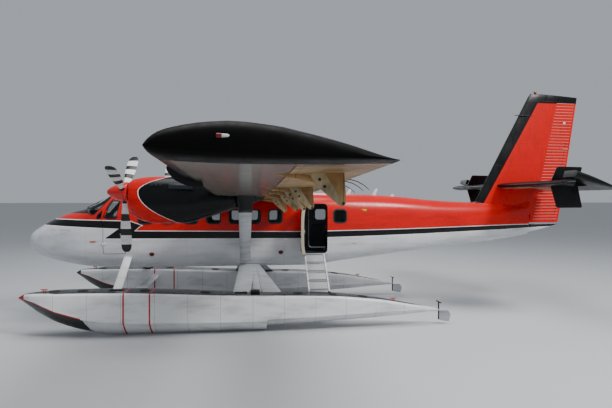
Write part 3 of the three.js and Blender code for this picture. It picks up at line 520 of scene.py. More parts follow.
def plainFinish(name, colour, rough, metallic=0.0, grain=16.7, variation=0.25, bump=0.2, depth=0.0008,
                stretch=(1, 1, 1), specular=0.5):
    # an even finish whose speckles change its tone, gloss and relief a little; grain is their width in
    # millimetres, coarser than the real one so that it shows
    material, tree, shader = newSurface(name)
    where = addNode(tree, "ShaderNodeTexCoord").outputs["Object"]
    where = addNode(tree, "ShaderNodeMapping", {"Vector": where, "Scale": stretch}).outputs["Vector"]
    speckle = addNode(tree, "ShaderNodeTexNoise", {
        "Vector": where, "Scale": 1000 / grain, "Detail": 6.0, "Roughness": 0.6}).outputs["Fac"]
    wide = addNode(tree, "ShaderNodeTexNoise",
                   {"Vector": where, "Scale": 40 / grain, "Detail": 3.0}).outputs["Fac"]
    gloss = addNode(tree, "ShaderNodeMapRange", {
        "Value": speckle, "From Min": 0.3, "From Max": 0.7, "To Min": rough * 0.8,
        "To Max": min(1.0, rough * 1.25)})
    relief = addNode(tree, "ShaderNodeBump", {"Height": speckle, "Strength": bump, "Distance": depth})
    toned = layered(tree, colour, [(Field(tree, wide) * variation, "#2a2724")])
    for key, socket in {"Base Color": toned, "Roughness": gloss.outputs["Result"],
                        "Normal": relief.outputs["Normal"]}.items():
        tree.links.new(socket, shader.inputs[key])
    shader.inputs["Metallic"].default_value = metallic
    shader.inputs["Specular IOR Level"].default_value = specular
    return material


# moulded rubber: dull, drinks the light
rubber = plainFinish("blackNeopreneSeal", "#151515", 0.6, grain=8.33)
# rolled sheet and tube: long soft glints along the grain
aluminium = plainFinish("satinAluminium", "#c4c7ca", 0.32, 1.0, grain=25, stretch=(1, 1, 12))
# heat-tinted pipe: bluish patches
steel = plainFinish("heatTintedSteel", "#7e8898", 0.35, 1.0, grain=55.6, variation=0.5)
# oiled fittings: dark, with a small sheen
darkMetal = plainFinish("oiledSteel", "#3c3e40", 0.45, 1.0, grain=20)
# grit in black paint: flat and rough under foot
tread = plainFinish("gritWalkwayPaint", "#1c1d1f", 0.85, grain=3.85, bump=0.8, depth=0.002)
# moulded plastic: a soft even sheen
plastic = plainFinish("mouldedBlackPlastic", "#1a1b1d", 0.5, grain=11.1)
# grained hide: fine creases that catch the light
leather = plainFinish("grainedSeatLeather", "#2d3a4a", 0.55, grain=14.3, bump=0.6, depth=0.0015)
# sprayed enamels: clean edges, one colour, a shine that follows how worn they are; the pale pink of the
# rudder ribs is a painted highlight along their crests
blackPaint = plainFinish("blackChassisEnamel", "#151618", 0.3, grain=33.3)
edgePaint = plainFinish("creamDoorEdgePaint", "#c9bfa6", 0.45, grain=12.5)
ribHighlightPaint = plainFinish("paleRibEnamel", "#d8786f", 0.4)
lime = plainFinish("limeMarkerEnamel", "#a8c622", 0.4)
bulkheadPaint = plainFinish("paintedBulkheadSkin", "#a9a69d", 0.6, grain=20)
tipPaint = plainFinish("glossBlackTipEnamel", "#050506", 0.42, grain=83.3, variation=0.15,
                       bump=0.05, specular=0.06)
# scuffed deck paint: grey rubbed in patches
scuffedGrey = plainFinish("scuffedDeckPaint", "#b5b8ba", 0.55, grain=11.1, variation=0.5)
# sooted alloy: blue-grey going black at the mouth
exhaustMetal = plainFinish("sootedExhaustAlloy", "#3c424b", 0.42, 0.8, grain=45.5, variation=0.6)
# cast alloy: pitted and dull
engineMetal = plainFinish("castEngineAlloy", "#6d6a64", 0.5, 0.9, grain=22.2, variation=0.5, bump=0.5)
# pressed glass and plastic lenses: deep colour under a sharp shine
amber = plainFinish("amberLensCover", "#b4560f", 0.15, grain=50, bump=0.05)
redLens = plainFinish("redGlassLens", "#7c0507", 0.1, grain=50, bump=0.05)
clearLens = plainFinish("frostedLampLens", "#d9dde0", 0.12, grain=50, bump=0.05)
# matt black card behind the dials
dialFace = plainFinish("mattDialFace", "#08090a", 0.6, grain=11.1)


def glassFinish(name, tint, clear):
    # stretched acrylic: clear, with a faint tint, a wavy surface and a hard gloss
    material, tree, shader = newSurface(name)
    for key, value in {"Base Color": toLinear(tint), "Roughness": 0.03, "IOR": 1.49, "Alpha": clear}.items():
        shader.inputs[key].default_value = value
    where = addNode(tree, "ShaderNodeTexCoord").outputs["Object"]
    wave = addNode(tree, "ShaderNodeTexNoise", {"Vector": where, "Scale": 3.0, "Detail": 1.0}).outputs["Fac"]
    bump = addNode(tree, "ShaderNodeBump", {"Height": wave, "Strength": 0.02, "Distance": 0.001})
    tree.links.new(bump.outputs["Normal"], shader.inputs["Normal"])
    return material


windowGlass = glassFinish("tintedAcrylicPane", "#1b2526", 0.12)
screenGlass = glassFinish("clearWindscreenPane", "#22313a", 0.1)
print("finishes ready")

# Camera: standing abreast of the wing on the port side, turned a little aft
cameraPlace = {"station": 5460, "out": 13800, "height": 3050, "turnAft": 6.86,
               "tiltDown": 0.56, "lens": 29.82}
cameraData = bpy.data.cameras.new("camera")
cameraData.lens = cameraPlace["lens"]
cameraData.sensor_width = 36
cameraData.clip_end = 1000
camera = bpy.data.objects.new("camera", cameraData)
camera.location = at(cameraPlace["station"], -cameraPlace["out"], cameraPlace["height"])
camera.rotation_euler = (math.radians(90 - cameraPlace["tiltDown"]), 0, -math.radians(cameraPlace["turnAft"]))
bpy.context.scene.collection.objects.link(camera)
bpy.context.scene.camera = camera

# Fuselage
fuselageForm = [  # x, top, bottom, half width, corner power
    (0, 1996, 1984, 10, 2), (14, 2075, 1905, 95, 2), (60, 2185, 1810, 220, 2.1), (280, 2350, 1620, 420, 2.2),
    (590, 2530, 1500, 575, 2.4), (990, 2690, 1415, 700, 2.7), (1450, 2815, 1340, 790, 3),
    (1750, 2965, 1312, 822, 3.2), (2080, 3165, 1298, 848, 3.5), (2600, 3210, 1290, 872, 4),
    (7100, 3210, 1290, 875, 4), (7970, 3195, 1390, 820, 3.8), (9000, 3160, 1500, 700, 3.4),
    (9620, 3120, 1570, 620, 3.2), (10940, 3000, 1715, 460, 2.8), (12250, 2935, 1850, 310, 2.4),
    (13280, 2880, 2000, 170, 2.2), (13560, 2860, 2055, 110, 2.1),
]
stingForm = [(13480, 2332, 2080, 82, 2.1), (14000, 2335, 2185, 62, 2.1), (14400, 2336, 2298, 26, 2),
             (14468, 2335, 2317, 16, 2), (14480, 2330, 2324, 5, 2)]  # the slim end under the rudder
cabinSpace = {"front": 1220, "rear": 8350, "wall": 70, "floor": 1600}


def ovalRing(row, centreY=0, inset=0, sideCount=96):
    x, top, bottom, half, power = row
    middle, height = (top + bottom) / 2, (top - bottom) / 2 - inset
    ring = []
    for i in range(sideCount):
        angle = (i + 0.5) / sideCount * 2 * math.pi
        c, s = math.cos(angle), math.sin(angle)
        ring.append(at(x, centreY + (half - inset) * math.copysign(abs(c) ** (2 / power), c),
                       middle + height * math.copysign(abs(s) ** (2 / power), s)))
    return ring


def skinHalf(x, z, inset=0):
    # half width of the fuselage at a station and height
    _, top, bottom, half, power = formAt(fuselageForm, x)
    share = abs(z - (top + bottom) / 2) / ((top - bottom) / 2 - inset)
    return (half - inset) * max(0.0, 1 - min(share, 1) ** power) ** (1 / power)


def skinTop(x, y):
    # height of the fuselage's upper skin at a station and distance from the centre plane
    _, top, bottom, half, power = formAt(fuselageForm, x)
    share = min(abs(y) / half, 1)
    return (top + bottom) / 2 + (top - bottom) / 2 * max(0.0, 1 - share ** power) ** (1 / power)


windows = {"width": 330, "height": 330, "z": 2605, "corner": 85, "taper": 7000,
           "port": [3010, 3560, 4115, 4675, 5235, 5675, 6232, 7915],
           "starboard": [3010, 3560, 4115, 4675, 5235, 5675, 6232]}
doors = {
    "cabin_door_port": {"side": -1, "front": 6880, "rear": 7580, "low": 1650, "high": 2930, "corner": 90,
                        "pane": 7230, "swing": -98},
    "cabin_door_starboard": {"side": 1, "front": 7290, "rear": 7990, "low": 1650, "high": 2930, "corner": 90,
                             "pane": 7640, "swing": 0},
    "crew_door_port": {"side": -1, "front": 1985, "rear": 2540, "low": 1690, "high": 3060, "corner": 30,
                       "pane": None, "swing": 0},
    "crew_door_starboard": {"side": 1, "front": 1985, "rear": 2540, "low": 1690, "high": 3060, "corner": 30,
                            "pane": None, "swing": 0},
}
crewDoorLean = [(2205, 3060), (2150, 2995), (2070, 2850), (1985, 2600)]  # upper part of its front edge
doorFit = {"gap": 12, "pinAhead": 4, "pinOut": 14, "hinges": (190, 790),
           "handle": {"ahead": 85, "height": 2180}, "pull": [(-8, 2180), (26, 2200), (30, 2260), (-8, 2285)]}
centrePost = 35
cutterReach = {"inner": 400, "outer": 1200}  # out from the centre plane


def windowOutline(x, grow=0):
    return roundedOutline(x - windows["width"] / 2 - grow, x + windows["width"] / 2 + grow,
                          windows["z"] - windows["height"] / 2 - grow,
                          windows["z"] + windows["height"] / 2 + grow, windows["corner"] + grow)


def doorOutline(door, grow=0):
    outline = roundedOutline(door["front"] - grow, door["rear"] + grow, door["low"] - grow,
                             door["high"] + grow, door["corner"] + grow)
    if not door["pane"]:  # the crew doors' front edge leans back beside their window
        corner = len(outline) // 4
        outline[corner:2 * corner] = [(x - grow, z + (0 if i else grow))
                                      for i, (x, z) in enumerate(crewDoorLean)]
    return outline


def softened(outline, radius, steps=5):
    # the same outline with its corners rounded
    result = []
    count = len(outline)
    for i, corner in enumerate(outline):
        here = Vector(corner)
        before, after = Vector(outline[i - 1]) - here, Vector(outline[(i + 1) % count]) - here
        reach = min(radius, before.length * 0.45, after.length * 0.45)
        a, b = here + before.normalized() * reach, here + after.normalized() * reach
        for k in range(steps + 1):
            t = k / steps
            result.append(tuple(a * (1 - t) ** 2 + here * (2 * t * (1 - t)) + b * t ** 2))
    return result


crewPane = softened([(2022, 2570), (2108, 2855), (2200, 3010), (2402, 2985), (2305, 2570)], 40)
quarterPane = softened([(1828, 2562), (1840, 2640), (1965, 2770), (1935, 2575)], 30)
screenPane = softened([(1490, 2800), (1620, 2690), (1740, 2650), (2120, 3060),
                       (2120, 3400), (1490, 3400)], 45)


def sideCutter(outline, side, inner=cutterReach["inner"], outer=cutterReach["outer"], material=rubber):
    # goes straight through one side of the fuselage; the faces that it leaves take its material
    return sidePlate("cutter", outline, side * inner, side * outer, material)


def aboveFloor(floor, material=None):
    # everything over a height, to keep of a piece that reaches below it
    return planPlate("aboveFloor", [(0, -2000), (9000, -2000), (9000, 2000), (0, 2000)],
                     floor, 4000, material)


def fuselageRings(start, end, inset, gap, sideCount=96):
    count = max(2, round((end - start) / gap) + 1)
    return [ovalRing(formAt(fuselageForm, x), 0, inset, sideCount) for x in spread(start, end, count)]


def fuselageSkin():
    bluntNose = (0, 4, 9, 14, 22, 32, 45, 60, 80, 105, 135, 170, 210, 245)
    rings = [ovalRing(formAt(fuselageForm, x)) for x in bluntNose]
    rings += fuselageRings(280, 2580, 0, 55) + fuselageRings(2640, 8300, 0, 210)
    rings += fuselageRings(8400, 13560, 0, 130)
    skin = loftPiece("fuselageSkin", rings, fuselagePaint)
    space = loftPiece("space",
                      fuselageRings(cabinSpace["front"], cabinSpace["rear"], cabinSpace["wall"],
                                    130, 64), cabinLining)
    cutters = [cutPiece(space, [aboveFloor(cabinSpace["floor"])], "INTERSECT")]
    for name, side in sides.items():
        cutters += [sideCutter(windowOutline(x), side) for x in windows[name]]
        cutters += [sideCutter(quarterPane, side), sideCutter(screenPane, side, centrePost)]
    cutters += [sideCutter(doorOutline(door), door["side"]) for door in doors.values()]
    cutPiece(skin, cutters, smoothBelow=28)
    return settle(skin, [
        "nose", "belly", "cockpit_shell", "cabin_side_port", "cabin_side_starboard",
        "cabin_roof", "tail_cone"])


fuselageSkin()
stingStations = (*spread(13480, 14400, 12), 14440, 14468, 14480)
sting = loftPiece("tailSting", [ovalRing(formAt(stingForm, x)) for x in stingStations], fuselagePaint)
settle(sting)
print("fuselage skin cut")


def doorPin(door):
    # hinge line, ahead of the front edge and just outside the skin
    half = formAt(fuselageForm, door["front"])[3]
    return door["front"] - doorFit["pinAhead"], door["side"] * (half + doorFit["pinOut"])


def doorPanel(name, door, opening):
    # a slab of the skin inside the doorway, with its window cut
    side = door["side"]
    columns = spread(door["front"] - 40, door["rear"] + 40, 9)
    rows = spread(door["low"] - 40, door["high"] + 10, 40)
    points = [at(x, side * skinHalf(x, z, inset), z)
              for inset in (0, cabinSpace["wall"]) for x in columns for z in rows]
    n, m = len(columns), len(rows)
    faces = []
    for layer in (0, 1):
        for i in range(n - 1):
            for j in range(m - 1):
                a = layer * n * m + i * m + j
                faces.append((a, a + 1, a + m + 1, a + m))
    rim = [i * m for i in range(n)] + [(n - 1) * m + j for j in range(1, m)]
    rim += [i * m + m - 1 for i in range(n - 2, -1, -1)] + list(range(m - 2, 0, -1))
    faces += [(a, b, b + n * m, a + n * m) for a, b in zip(rim, rim[1:] + rim[:1])]
    panel = newPiece(name + "Panel", points, faces, doorPaint)
    pinX, pinY = doorPin(door)
    reach = door["rear"] - pinX - 6  # what swings past the rear jamb
    swing = turned("swing", at(pinX, pinY, 1500), (0, 0, 1), [(0, reach), (1700, reach)], rubber, 96)
    cutPiece(panel, [sideCutter(doorOutline(door, -doorFit["gap"]), side), swing], "INTERSECT")
    cutPiece(panel, [sideCutter(opening, side)], smoothBelow=28)
    # inner face in cabin lining, edges in cream where the door stands open
    first = len(panel.data.materials)
    panel.data.materials.append(cabinLining)
    panel.data.materials.append(edgePaint if door["swing"] else rubber)
    for face in panel.data.polygons:
        outward = face.normal.y * side
        if outward < 0.5:
            face.material_index = first if outward < -0.5 else first + 1
    return panel


def swungBy(piece, door):
    # remembers the closed place of each point, then turns the piece about the door's hinge
    mesh = piece.data
    kept = mesh.attributes.new("closedPlace", "FLOAT_VECTOR", "POINT")
    kept.data.foreach_set("vector", [part for vertex in mesh.vertices for part in vertex.co])
    if door["swing"]:
        pin = at(*doorPin(door), 0)
        turn = Matrix.Rotation(math.radians(door["swing"]), 4, "Z")
        mesh.transform(Matrix.Translation(pin) @ turn @ Matrix.Translation(-pin))
    return piece


def paneOn(name, side, outline, inset, material, thickness=5):
    # a thin pane that follows the skin at a depth below it
    count = len(outline)
    points = [at(x, side * skinHalf(x, z, depth), z)
              for depth in (inset, inset + thickness) for x, z in outline]
    faces = [tuple(range(count)), tuple(reversed(range(count, 2 * count)))]
    faces += [(i, (i + 1) % count, (i + 1) % count + count, i + count) for i in range(count)]
    return newPiece(name, points, faces, material)


def rimOn(name, side, outer, inner, proud=3, depth=10):
    # a flat rubber ring between two outlines with as many points, standing a little proud of the skin
    rows = ((outer, -depth), (outer, proud * 0.6), (outer, proud), (inner, proud), (inner, -depth),
            (outer, -depth))
    rings = [[at(x, side * (skinHalf(x, z) + height), z) for x, z in outline] for outline, height in rows]
    return loftPiece(name, rings, rubber, capStart=False, capEnd=False)


def grownOutline(outline, grow):
    # each point moved out from the outline along its own normal
    after = outline[1:] + outline[:1]
    if sum(a[0] * b[1] - b[0] * a[1] for a, b in zip(outline, after)) < 0:
        grow = -grow
    result = []
    for before, (x, z), following in zip(outline[-1:] + outline, outline, after):
        along = (Vector(following) - Vector(before)).normalized()
        result.append((x + along.y * grow, z - along.x * grow))
    return result


def doorFittings(door, opening):
    # window rim, handle, hinge straps over the pins, trim panel and pull
    side = door["side"]
    x, z = door["rear"] - doorFit["handle"]["ahead"], doorFit["handle"]["height"]
    half = skinHalf(x, z)
    plate = sidePlate("handle", roundedOutline(x - 55, x + 40, z - 24, z + 24, 20), side * (half - 4),
                      side * (half + 3), aluminium)
    parts = [rimOn("rim", side, grownOutline(opening, 22), grownOutline(opening, -14)),
             roundEdges(plate, 0.002),
             tube("grip",
                  [at(x - 40, side * (half + 12), z), at(x + 24, side * (half + 12), z)], 7, aluminium, 10)]
    x, pinY = doorPin(door)
    half = abs(pinY) - doorFit["pinOut"]
    for z in (door["low"] + height for height in doorFit["hinges"]):
        parts.append(tube("knuckle", [at(x, pinY, z + 31), at(x, pinY, z + 90)], 13, doorPaint, 14))
        strap = sidePlate("strap", roundedOutline(x + 4, x + 75, z + 34, z + 88, 12), side * (half - 8),
                          side * (half + 9), doorPaint)
        parts.append(roundEdges(strap, 0.002))
    middle = (door["front"] + door["rear"]) / 2
    depth = skinHalf(middle, 2000) - cabinSpace["wall"] - 2
    outline = roundedOutline(door["front"] + 70, door["rear"] - 70, door["low"] + 90, 2330, 60)
    parts.append(roundEdges(sidePlate("trimPanel", outline, side * depth,
                                      side * (depth + 14), leather), 0.005))
    pull = [at(middle + 150, side * (depth - inwards), z) for inwards, z in doorFit["pull"]]
    return parts + [tube("pull", pull, 9, aluminium, 12)]


for name, door in doors.items():
    opening = windowOutline(door["pane"]) if door["pane"] else crewPane
    solid = joinPieces(name + "Dressed", [doorPanel(name, door, opening), *doorFittings(door, opening)])
    settle(finishMesh(swungBy(solid, door), 28), [name], name + "_body")
    glass = paneOn(name + "Glass", door["side"], grownOutline(opening, 4), 14, windowGlass)
    settle(swungBy(glass, door), body=name + "_body")
for name, side in sides.items():  # worn metal sill under each cabin doorway
    door = doors["cabin_door_" + name]
    z = door["low"] - 30
    half = skinHalf(door["front"], z)
    sill = boxPiece("sill" + name.capitalize(), (door["front"] - 10, side * (half - 14), z - 26),
                    (door["rear"] + 10, side * (half + 9), z + 14), aluminium, 5)
    settle(sill)
print("doors hung")

# Cabin windows: panes and neoprene rims
for name, side in sides.items():
    panes = [paneOn("pane", side, windowOutline(x, 4), 14, windowGlass) for x in windows[name]]
    panes.append(paneOn("pane", side, grownOutline(quarterPane, 4), 12, screenGlass))
    settleAll("cabinPanes" + name.capitalize(), panes)
    level = [x for x in windows[name] if x < windows["taper"]]
    places = [at(x, side * skinHalf(x, windows["z"]), windows["z"]) for x in level]
    unit = rimOn("rimUnit", side, windowOutline(level[3], 26), windowOutline(level[3], -12))
    unit.data.transform(Matrix.Translation(-places[3]))
    settle(repeatOn("cabinRims" + name.capitalize(), places, unit, rubber))
    rims = [rimOn("quarterRim", side, grownOutline(quarterPane, 8), grownOutline(quarterPane, -4))]
    rims += [rimOn("rearRim", side, windowOutline(x, 26), windowOutline(x, -12))
             for x in windows[name] if x not in level]
    settleAll("quarterRim" + name.capitalize(), rims)


# Windscreen: a curved pane, its seal and wiper each side of the centre post
def screenLayer(name, side, outside, inside, grow, material, holes=()):
    # a sheet between two depths under the skin, trimmed round the pane
    sheet = loftPiece(name, fuselageRings(1300, 2300, outside, 40), material)
    cutPiece(sheet, [loftPiece("core", fuselageRings(1250, 2350, inside, 40), material), *holes])
    trim = sideCutter(grownOutline(screenPane, grow), side, centrePost - grow, material=material)
    return cutPiece(sheet, [trim], "INTERSECT")


wiper = {  # station and distance from the centre plane, and how far over the skin
    "arm": [(1440, 150, 6), (1460, 160, 34), (1600, 250, 30), (1740, 330, 24), (1800, 365, 18)],
    "blade": [(1640, 180, 12), (1720, 270, 12), (1800, 365, 12), (1870, 450, 12), (1920, 520, 12)],
    "boss": [(0, 26), (26, 22), (34, 12)],
}
for name, side in sides.items():
    pane = screenLayer("windscreenPane" + name.capitalize(), side, 12, 20, 5, screenGlass)
    settle(pane, ["windscreen_" + name])
    hole = sideCutter(grownOutline(screenPane, -7), side, centrePost + 7, 1300)
    settle(screenLayer("windscreenSeal" + name.capitalize(), side, -4, 6, 9, rubber, [hole]))
    arm, blade = ([at(x, side * y, skinTop(x, y) + lift) for x, y, lift in wiper[key]]
                  for key in ("arm", "blade"))
    x, y, _ = wiper["arm"][0]
    boss = turned("boss", at(x, side * y, skinTop(x, y) - 6), (0.3, 0, 1), wiper["boss"], darkMetal, 20)
    settleAll("wiper" + name.capitalize(), [
        tube("wiperArm", arm, 7, darkMetal, 12), tube("blade", blade, 6, rubber, 10), boss])
print("glazing in")

# Wing
wingForm = {"halfSpan": 9905, "leadingEdge": 4700, "chord": 1980, "rootHeight": 3135, "dihedral": 0.0352,
            "above": 0.132, "below": 0.041, "leadingDrop": 32, "droop": 91, "trailingGap": 4, "tip": 240,
            "hingeDrop": 197.94}
airfoil = [(0, 0, 0), (0.1095, 0.28, 0.55), (0.2236, 0.54, 0.875), (0.3464, 0.735, 0.995), (0.5, 0.935, 1),
           (0.5916, 1, 0.934), (0.7071, 0.937, 0.79), (0.8062, 0.741, 0.61), (0.8944, 0.484, 0.395),
           (1, 0.015, 0.05)]  # root of the share of the chord, above, below
surfaceHinge = {"x": 6200, "drop": 60, "radius": 310, "gap": 10}
flapSpan = (960, 5640)
aileronSpan = (5660, 9560)


def wingHeight(y):
    return wingForm["rootHeight"] + wingForm["dihedral"] * y


def chordLine(y, share):
    return wingHeight(y) - wingForm["leadingDrop"] - wingForm["droop"] * share


def hingePoint(y):
    return surfaceHinge["x"], wingHeight(y) - wingForm["hingeDrop"]


def airfoilRing(y, side, thickShare=1.0, steps=26):
    x0, chord = wingForm["leadingEdge"], wingForm["chord"]
    roots = [0.5 - 0.5 * math.cos(math.pi * i / steps) for i in range(steps + 1)]
    above = [(root ** 2, formAt(airfoil, root)[1] * wingForm["above"] * thickShare) for root in roots]
    below = [(root ** 2, -formAt(airfoil, root)[2] * wingForm["below"] * thickShare)
             for root in reversed(roots[1:])]
    ring = [at(x0 + share * chord, side * y, chordLine(y, share) + rise * chord)
            for share, rise in above + below]
    ring[len(above)].z -= wingForm["trailingGap"] / 1000
    return ring


def wingRings(side):
    last = wingForm["halfSpan"] - wingForm["tip"]
    rings = [airfoilRing(y, side) for y in spread(0, last, 12)]
    for share in spread(0, 1, 13)[1:]:  # rounded off towards the tip
        inside = 1 - share ** 0.8
        thick = max(0.02, 1 - (1 - inside) ** 2.7) ** (1 / 2.7)
        rings.append(airfoilRing(wingForm["halfSpan"] - inside * wingForm["tip"], side, thick))
    return rings


def hingeProfile(side, y, radius, reach=2000, steps=40):
    x, z = hingePoint(y)
    arc = [at(x + radius * math.cos(a), side * y, z + radius * math.sin(a))
           for a in spread(math.pi / 2, 3 * math.pi / 2, steps)]
    return arc + [at(x + reach, side * y, z - radius), at(x + reach, side * y, z + radius)]


def surfaceColour(tree, axes):
    # pale grey above; oil- and exhaust-brown grey below, darkened further as painted shade of the underside;
    # a black rubber leading edge and tip
    x, y, z = axes
    below = z - abs(y) * wingForm["dihedral"] < (wingForm["rootHeight"] - 55) / 1000
    boot = (x < stationAt(4860)) | (abs(y) > 9.69)
    return layered(tree, colours["grey"], [(below, colours["shadedUnderside"]), (boot, colours["boot"])])


wingPaint = paintedSkin("glossWingEnamelAndBoot", surfaceColour, {
    "grime": 0.9, "rough": 0.16, "tone": 0.5, "shade": "#8d8272", "dirt": "#665638", "flow": (0.5, 4.0, 1.0),
    "seams": [(1, 0.62, 0.012, 0.2), (0, 0.49, 0.011, 0.02)], "seamShade": 0.7, "specular": 0.22,
    "bump": 0.15, "rivets": [(0, 0.05, 1, 0.31, 0.225)]})
# Bare primer, brown with oil: dry, blotched and dark along its seams
flapPaint = paintedSkin("wornZincPrimer", "#b58f58", {
    "grime": 1.0, "rough": 0.45, "tone": 0.6, "shade": "#7d6a52", "dirt": "#5d4b37",
    "flow": (1.2, 5.0, 1.0), "seams": [(1, 0.31, 0.01, 0.1), (0, 0.24, 0.009, 0.1)], "seamShade": 0.6})
armPaint = paintedSkin("wornPaleArmEnamel", "#c4b48e", {
    "grime": 1.0, "rough": 0.5, "tone": 0.5, "shade": "#8f8064", "dirt": "#5d4b37", "flow": (3.0, 5.0, 1.5)})
armStations = {"flap": [1500, 4150, 5350], "aileron": [6350, 8750]}
arm = {"thickness": 36, "split": 8, "root": 30, "drop": 330, "bolt": [(-2, 16), (8, 16), (11, 11), (11, 0)]}


def lowerSkin(x, y, inside=0):
    # height of the wing's underside, or of a place a little inside it
    share = (x - wingForm["leadingEdge"]) / wingForm["chord"]
    lift = formAt(airfoil, math.sqrt(share))[2] * wingForm["below"] * wingForm["chord"]
    return chordLine(y, share) - lift + inside


def wingBracket(y, side):
    # carries an arm's pin under the wing, beside the arm
    x, z = hingePoint(y - 44)
    outline = [(5600, lowerSkin(5600, y - 44, arm["root"])), (5830, lowerSkin(5830, y - 44, arm["root"])),
               (x + 30, z + 28), (x + 36, z - 16), (x, z - 36)]
    plate = sidePlate("bracket", softened(outline, 18, 3), side * (y - 44), side * (y - 8), flapPaint)
    return roundEdges(plate, 0.003)


def surfaceArm(y, side):
    # a hanging plate with its painted cover and bolt heads
    x, z = hingePoint(y)
    tip = z + surfaceHinge["drop"] - arm["drop"]
    outline = [(6080, lowerSkin(6080, y, arm["root"])),
               (6450, lowerSkin(6450, y, arm["root"])), (6475, tip + 45), (6445, tip),
               (6405, tip + 8), (x - 48, z - 45)]
    front = [(6085, lowerSkin(6085, y, arm["root"] - 2)), (6235, lowerSkin(6235, y, arm["root"] - 2)),
             (6452, tip + 26), (6412, tip + 4), (x - 30, z - 60)]
    outer = y + arm["thickness"]
    plate = sidePlate("arm", softened(outline, 25, 3), side * y, side * outer, flapPaint)
    cover = sidePlate("armCover", softened(front, 20, 3), side * (y - 3), side * (outer + 3), armPaint)
    return [roundEdges(plate, 0.003), roundEdges(cover, 0.002)] + [
        turned("bolt", at(px, side * outer, pz), (0, side, 0), arm["bolt"], darkMetal, 12)
        for px, pz in ((x, z), (6442, tip + 30), (6250, z - 70))]


def wingSurface(name, side, kind, inner, outer):
    # flap or aileron: the rear of the wing's own section, rounded at its hinge
    surface = loftPiece(kind + "Skin", [airfoilRing(y, side) for y in spread(inner, outer, 8)], flapPaint)
    nose = loftPiece("nose",
                     [hingeProfile(side, y, surfaceHinge["radius"])
                      for y in (inner - 50, outer + 50)], flapPaint)
    cutPiece(surface, [nose], "INTERSECT", smoothBelow=28)
    notches, arms = [], []
    for y in armStations[kind]:
        x, z = hingePoint(y)
        notch = [(x + 50, z + 45), (x - 330, z + 190), (x - 330, z - 100), (x + 50, z - 60)]
        notches.append(sidePlate("notch", notch, side * (y - arm["thickness"] - 2 * arm["split"]), side * y,
                                 darkMetal))
        arms += surfaceArm(y, side)
    cutPiece(surface, notches, smoothBelow=28)
    settleAll(kind + "Dressed" + name.capitalize(), [surface, *arms], [f"{kind}_{name}"],
              f"{kind}_{name}_body", 28)


for name, side in sides.items():
    panel = loftPiece("wingSkin" + name.capitalize(), wingRings(side), wingPaint)
    panel.data.materials.append(tipPaint)
    for face in panel.data.polygons:
        if abs(face.center.y) > 9.66:
            face.material_index = 1
    bay = loftPiece("bay", [hingeProfile(side, y, surfaceHinge["radius"] + surfaceHinge["gap"])
                            for y in (flapSpan[0] - 10, aileronSpan[1] + 10)], darkMetal)
    cutPiece(panel, [bay], smoothBelow=28)
    brackets = [wingBracket(y, side) for y in armStations["flap"] + armStations["aileron"]]
    settleAll("wingDressed" + name.capitalize(), [panel, *brackets],
              ["wing_" + name], smoothBelow=28)
    wingSurface(name, side, "flap", *flapSpan)
    wingSurface(name, side, "aileron", *aileronSpan)
print("wing and trailing surfaces built")

# Wing fence, strut and its collar
fence = {"y": 7400, "thickness": 24, "outline": [
    (4490, 20), (4530, 110), (4640, 190), (4860, 250), (5150, 260), (5150, 120), (4900, -30), (4960, -200),
    (4760, -190), (4590, -110)]}


def sectionOutline(section, count):
    # closed outline, one long, of a section's rows of [root of the share, half thickness]
    upper = [(root * root, formAt(section, root)[1]) for root in spread(0, 1, count)]
    return upper + [(a, -b) for a, b in reversed(upper[1:])]


def legRing(centre, chord, thickness):
    # streamlined section, level, as thick as given along the span
    outline = sectionOutline([(0, 0), (0.35, 0.36), (0.59, 0.5), (0.84, 0.34), (1, 0.03)], 14)
    return [centre + Vector(((a - 0.45) * chord / 1000, b * thickness / 1000, 0)) for a, b in outline]


strut = {"x": 5450, "y": 3725, "foot": (5450, 680, 1440), "chord": 250, "thick": 165, "collarStart": 0.74}
for name, side in sides.items():
    z = wingHeight(fence["y"])
    plate = sidePlate("wingFence" + name.capitalize(),
                      softened([(x, z + dz) for x, dz in fence["outline"]], 40, 4),
                      side * (fence["y"] - fence["thickness"] / 2),
                      side * (fence["y"] + fence["thickness"] / 2), glossBlack)
    settle(roundEdges(plate, 0.005, 3), ["wing_fence_" + name])
    head = at(strut["x"], side * strut["y"], wingHeight(strut["y"]) - 40)
    foot = at(strut["foot"][0], side * strut["foot"][1], strut["foot"][2])
    run = head - foot
    leg = loftPiece("strut", [legRing(foot + run * t, strut["chord"] + 35 * t, strut["thick"])
                              for t in spread(0, 1, 6)], greyPaint)
    collarFoot = foot + run * strut["collarStart"]
    collar = loftPiece("collar", [legRing(collarFoot + (head - collarFoot) * t,
                                          296 + 104 * t ** 2, 182 + 60 * t ** 2)
                                  for t in spread(0, 1, 8)], glossBlack)
    cuff = loftPiece("cuff", [legRing(foot + run * t, 268 + 120 * (0.16 - t), 180 + 200 * max(0, 0.12 - t))
                              for t in spread(0.02, 0.16, 5)], greyPaint)
    settleAll("wingStrut" + name.capitalize(), [leg, collar, cuff], ["wing_strut_" + name])

# Nacelles
nacelleForm = [
    (3065, 3410, 2760, 235, 2.2), (3150, 3460, 2690, 290, 2.3), (3350, 3505, 2585, 350, 2.4),
    (3650, 3525, 2535, 380, 2.5), (4200, 3525, 2540, 385, 2.5), (4700, 3480, 2670, 370, 2.4),
    (5050, 3330, 2775, 340, 2.3), (5500, 3300, 2915, 260, 2.2), (5870, 3270, 3040, 130, 2),
]
engineLine = {"y": 2800, "z": 3200}


def nacelleColour(tree, axes):
    # red bowl, a white pinstripe that sweeps back along the sides, black behind it
    x, _, z = axes
    rise = z - engineLine["z"] / 1000
    bend = rise * rise * ((rise > 0.0) * 4.2 + 1.9)
    behind = x - (bend + stationAt(3290))
    return layered(tree, colours["red"],
                   [(behind > -0.009, colours["stripe"]), (behind > 0.009, colours["black"])])


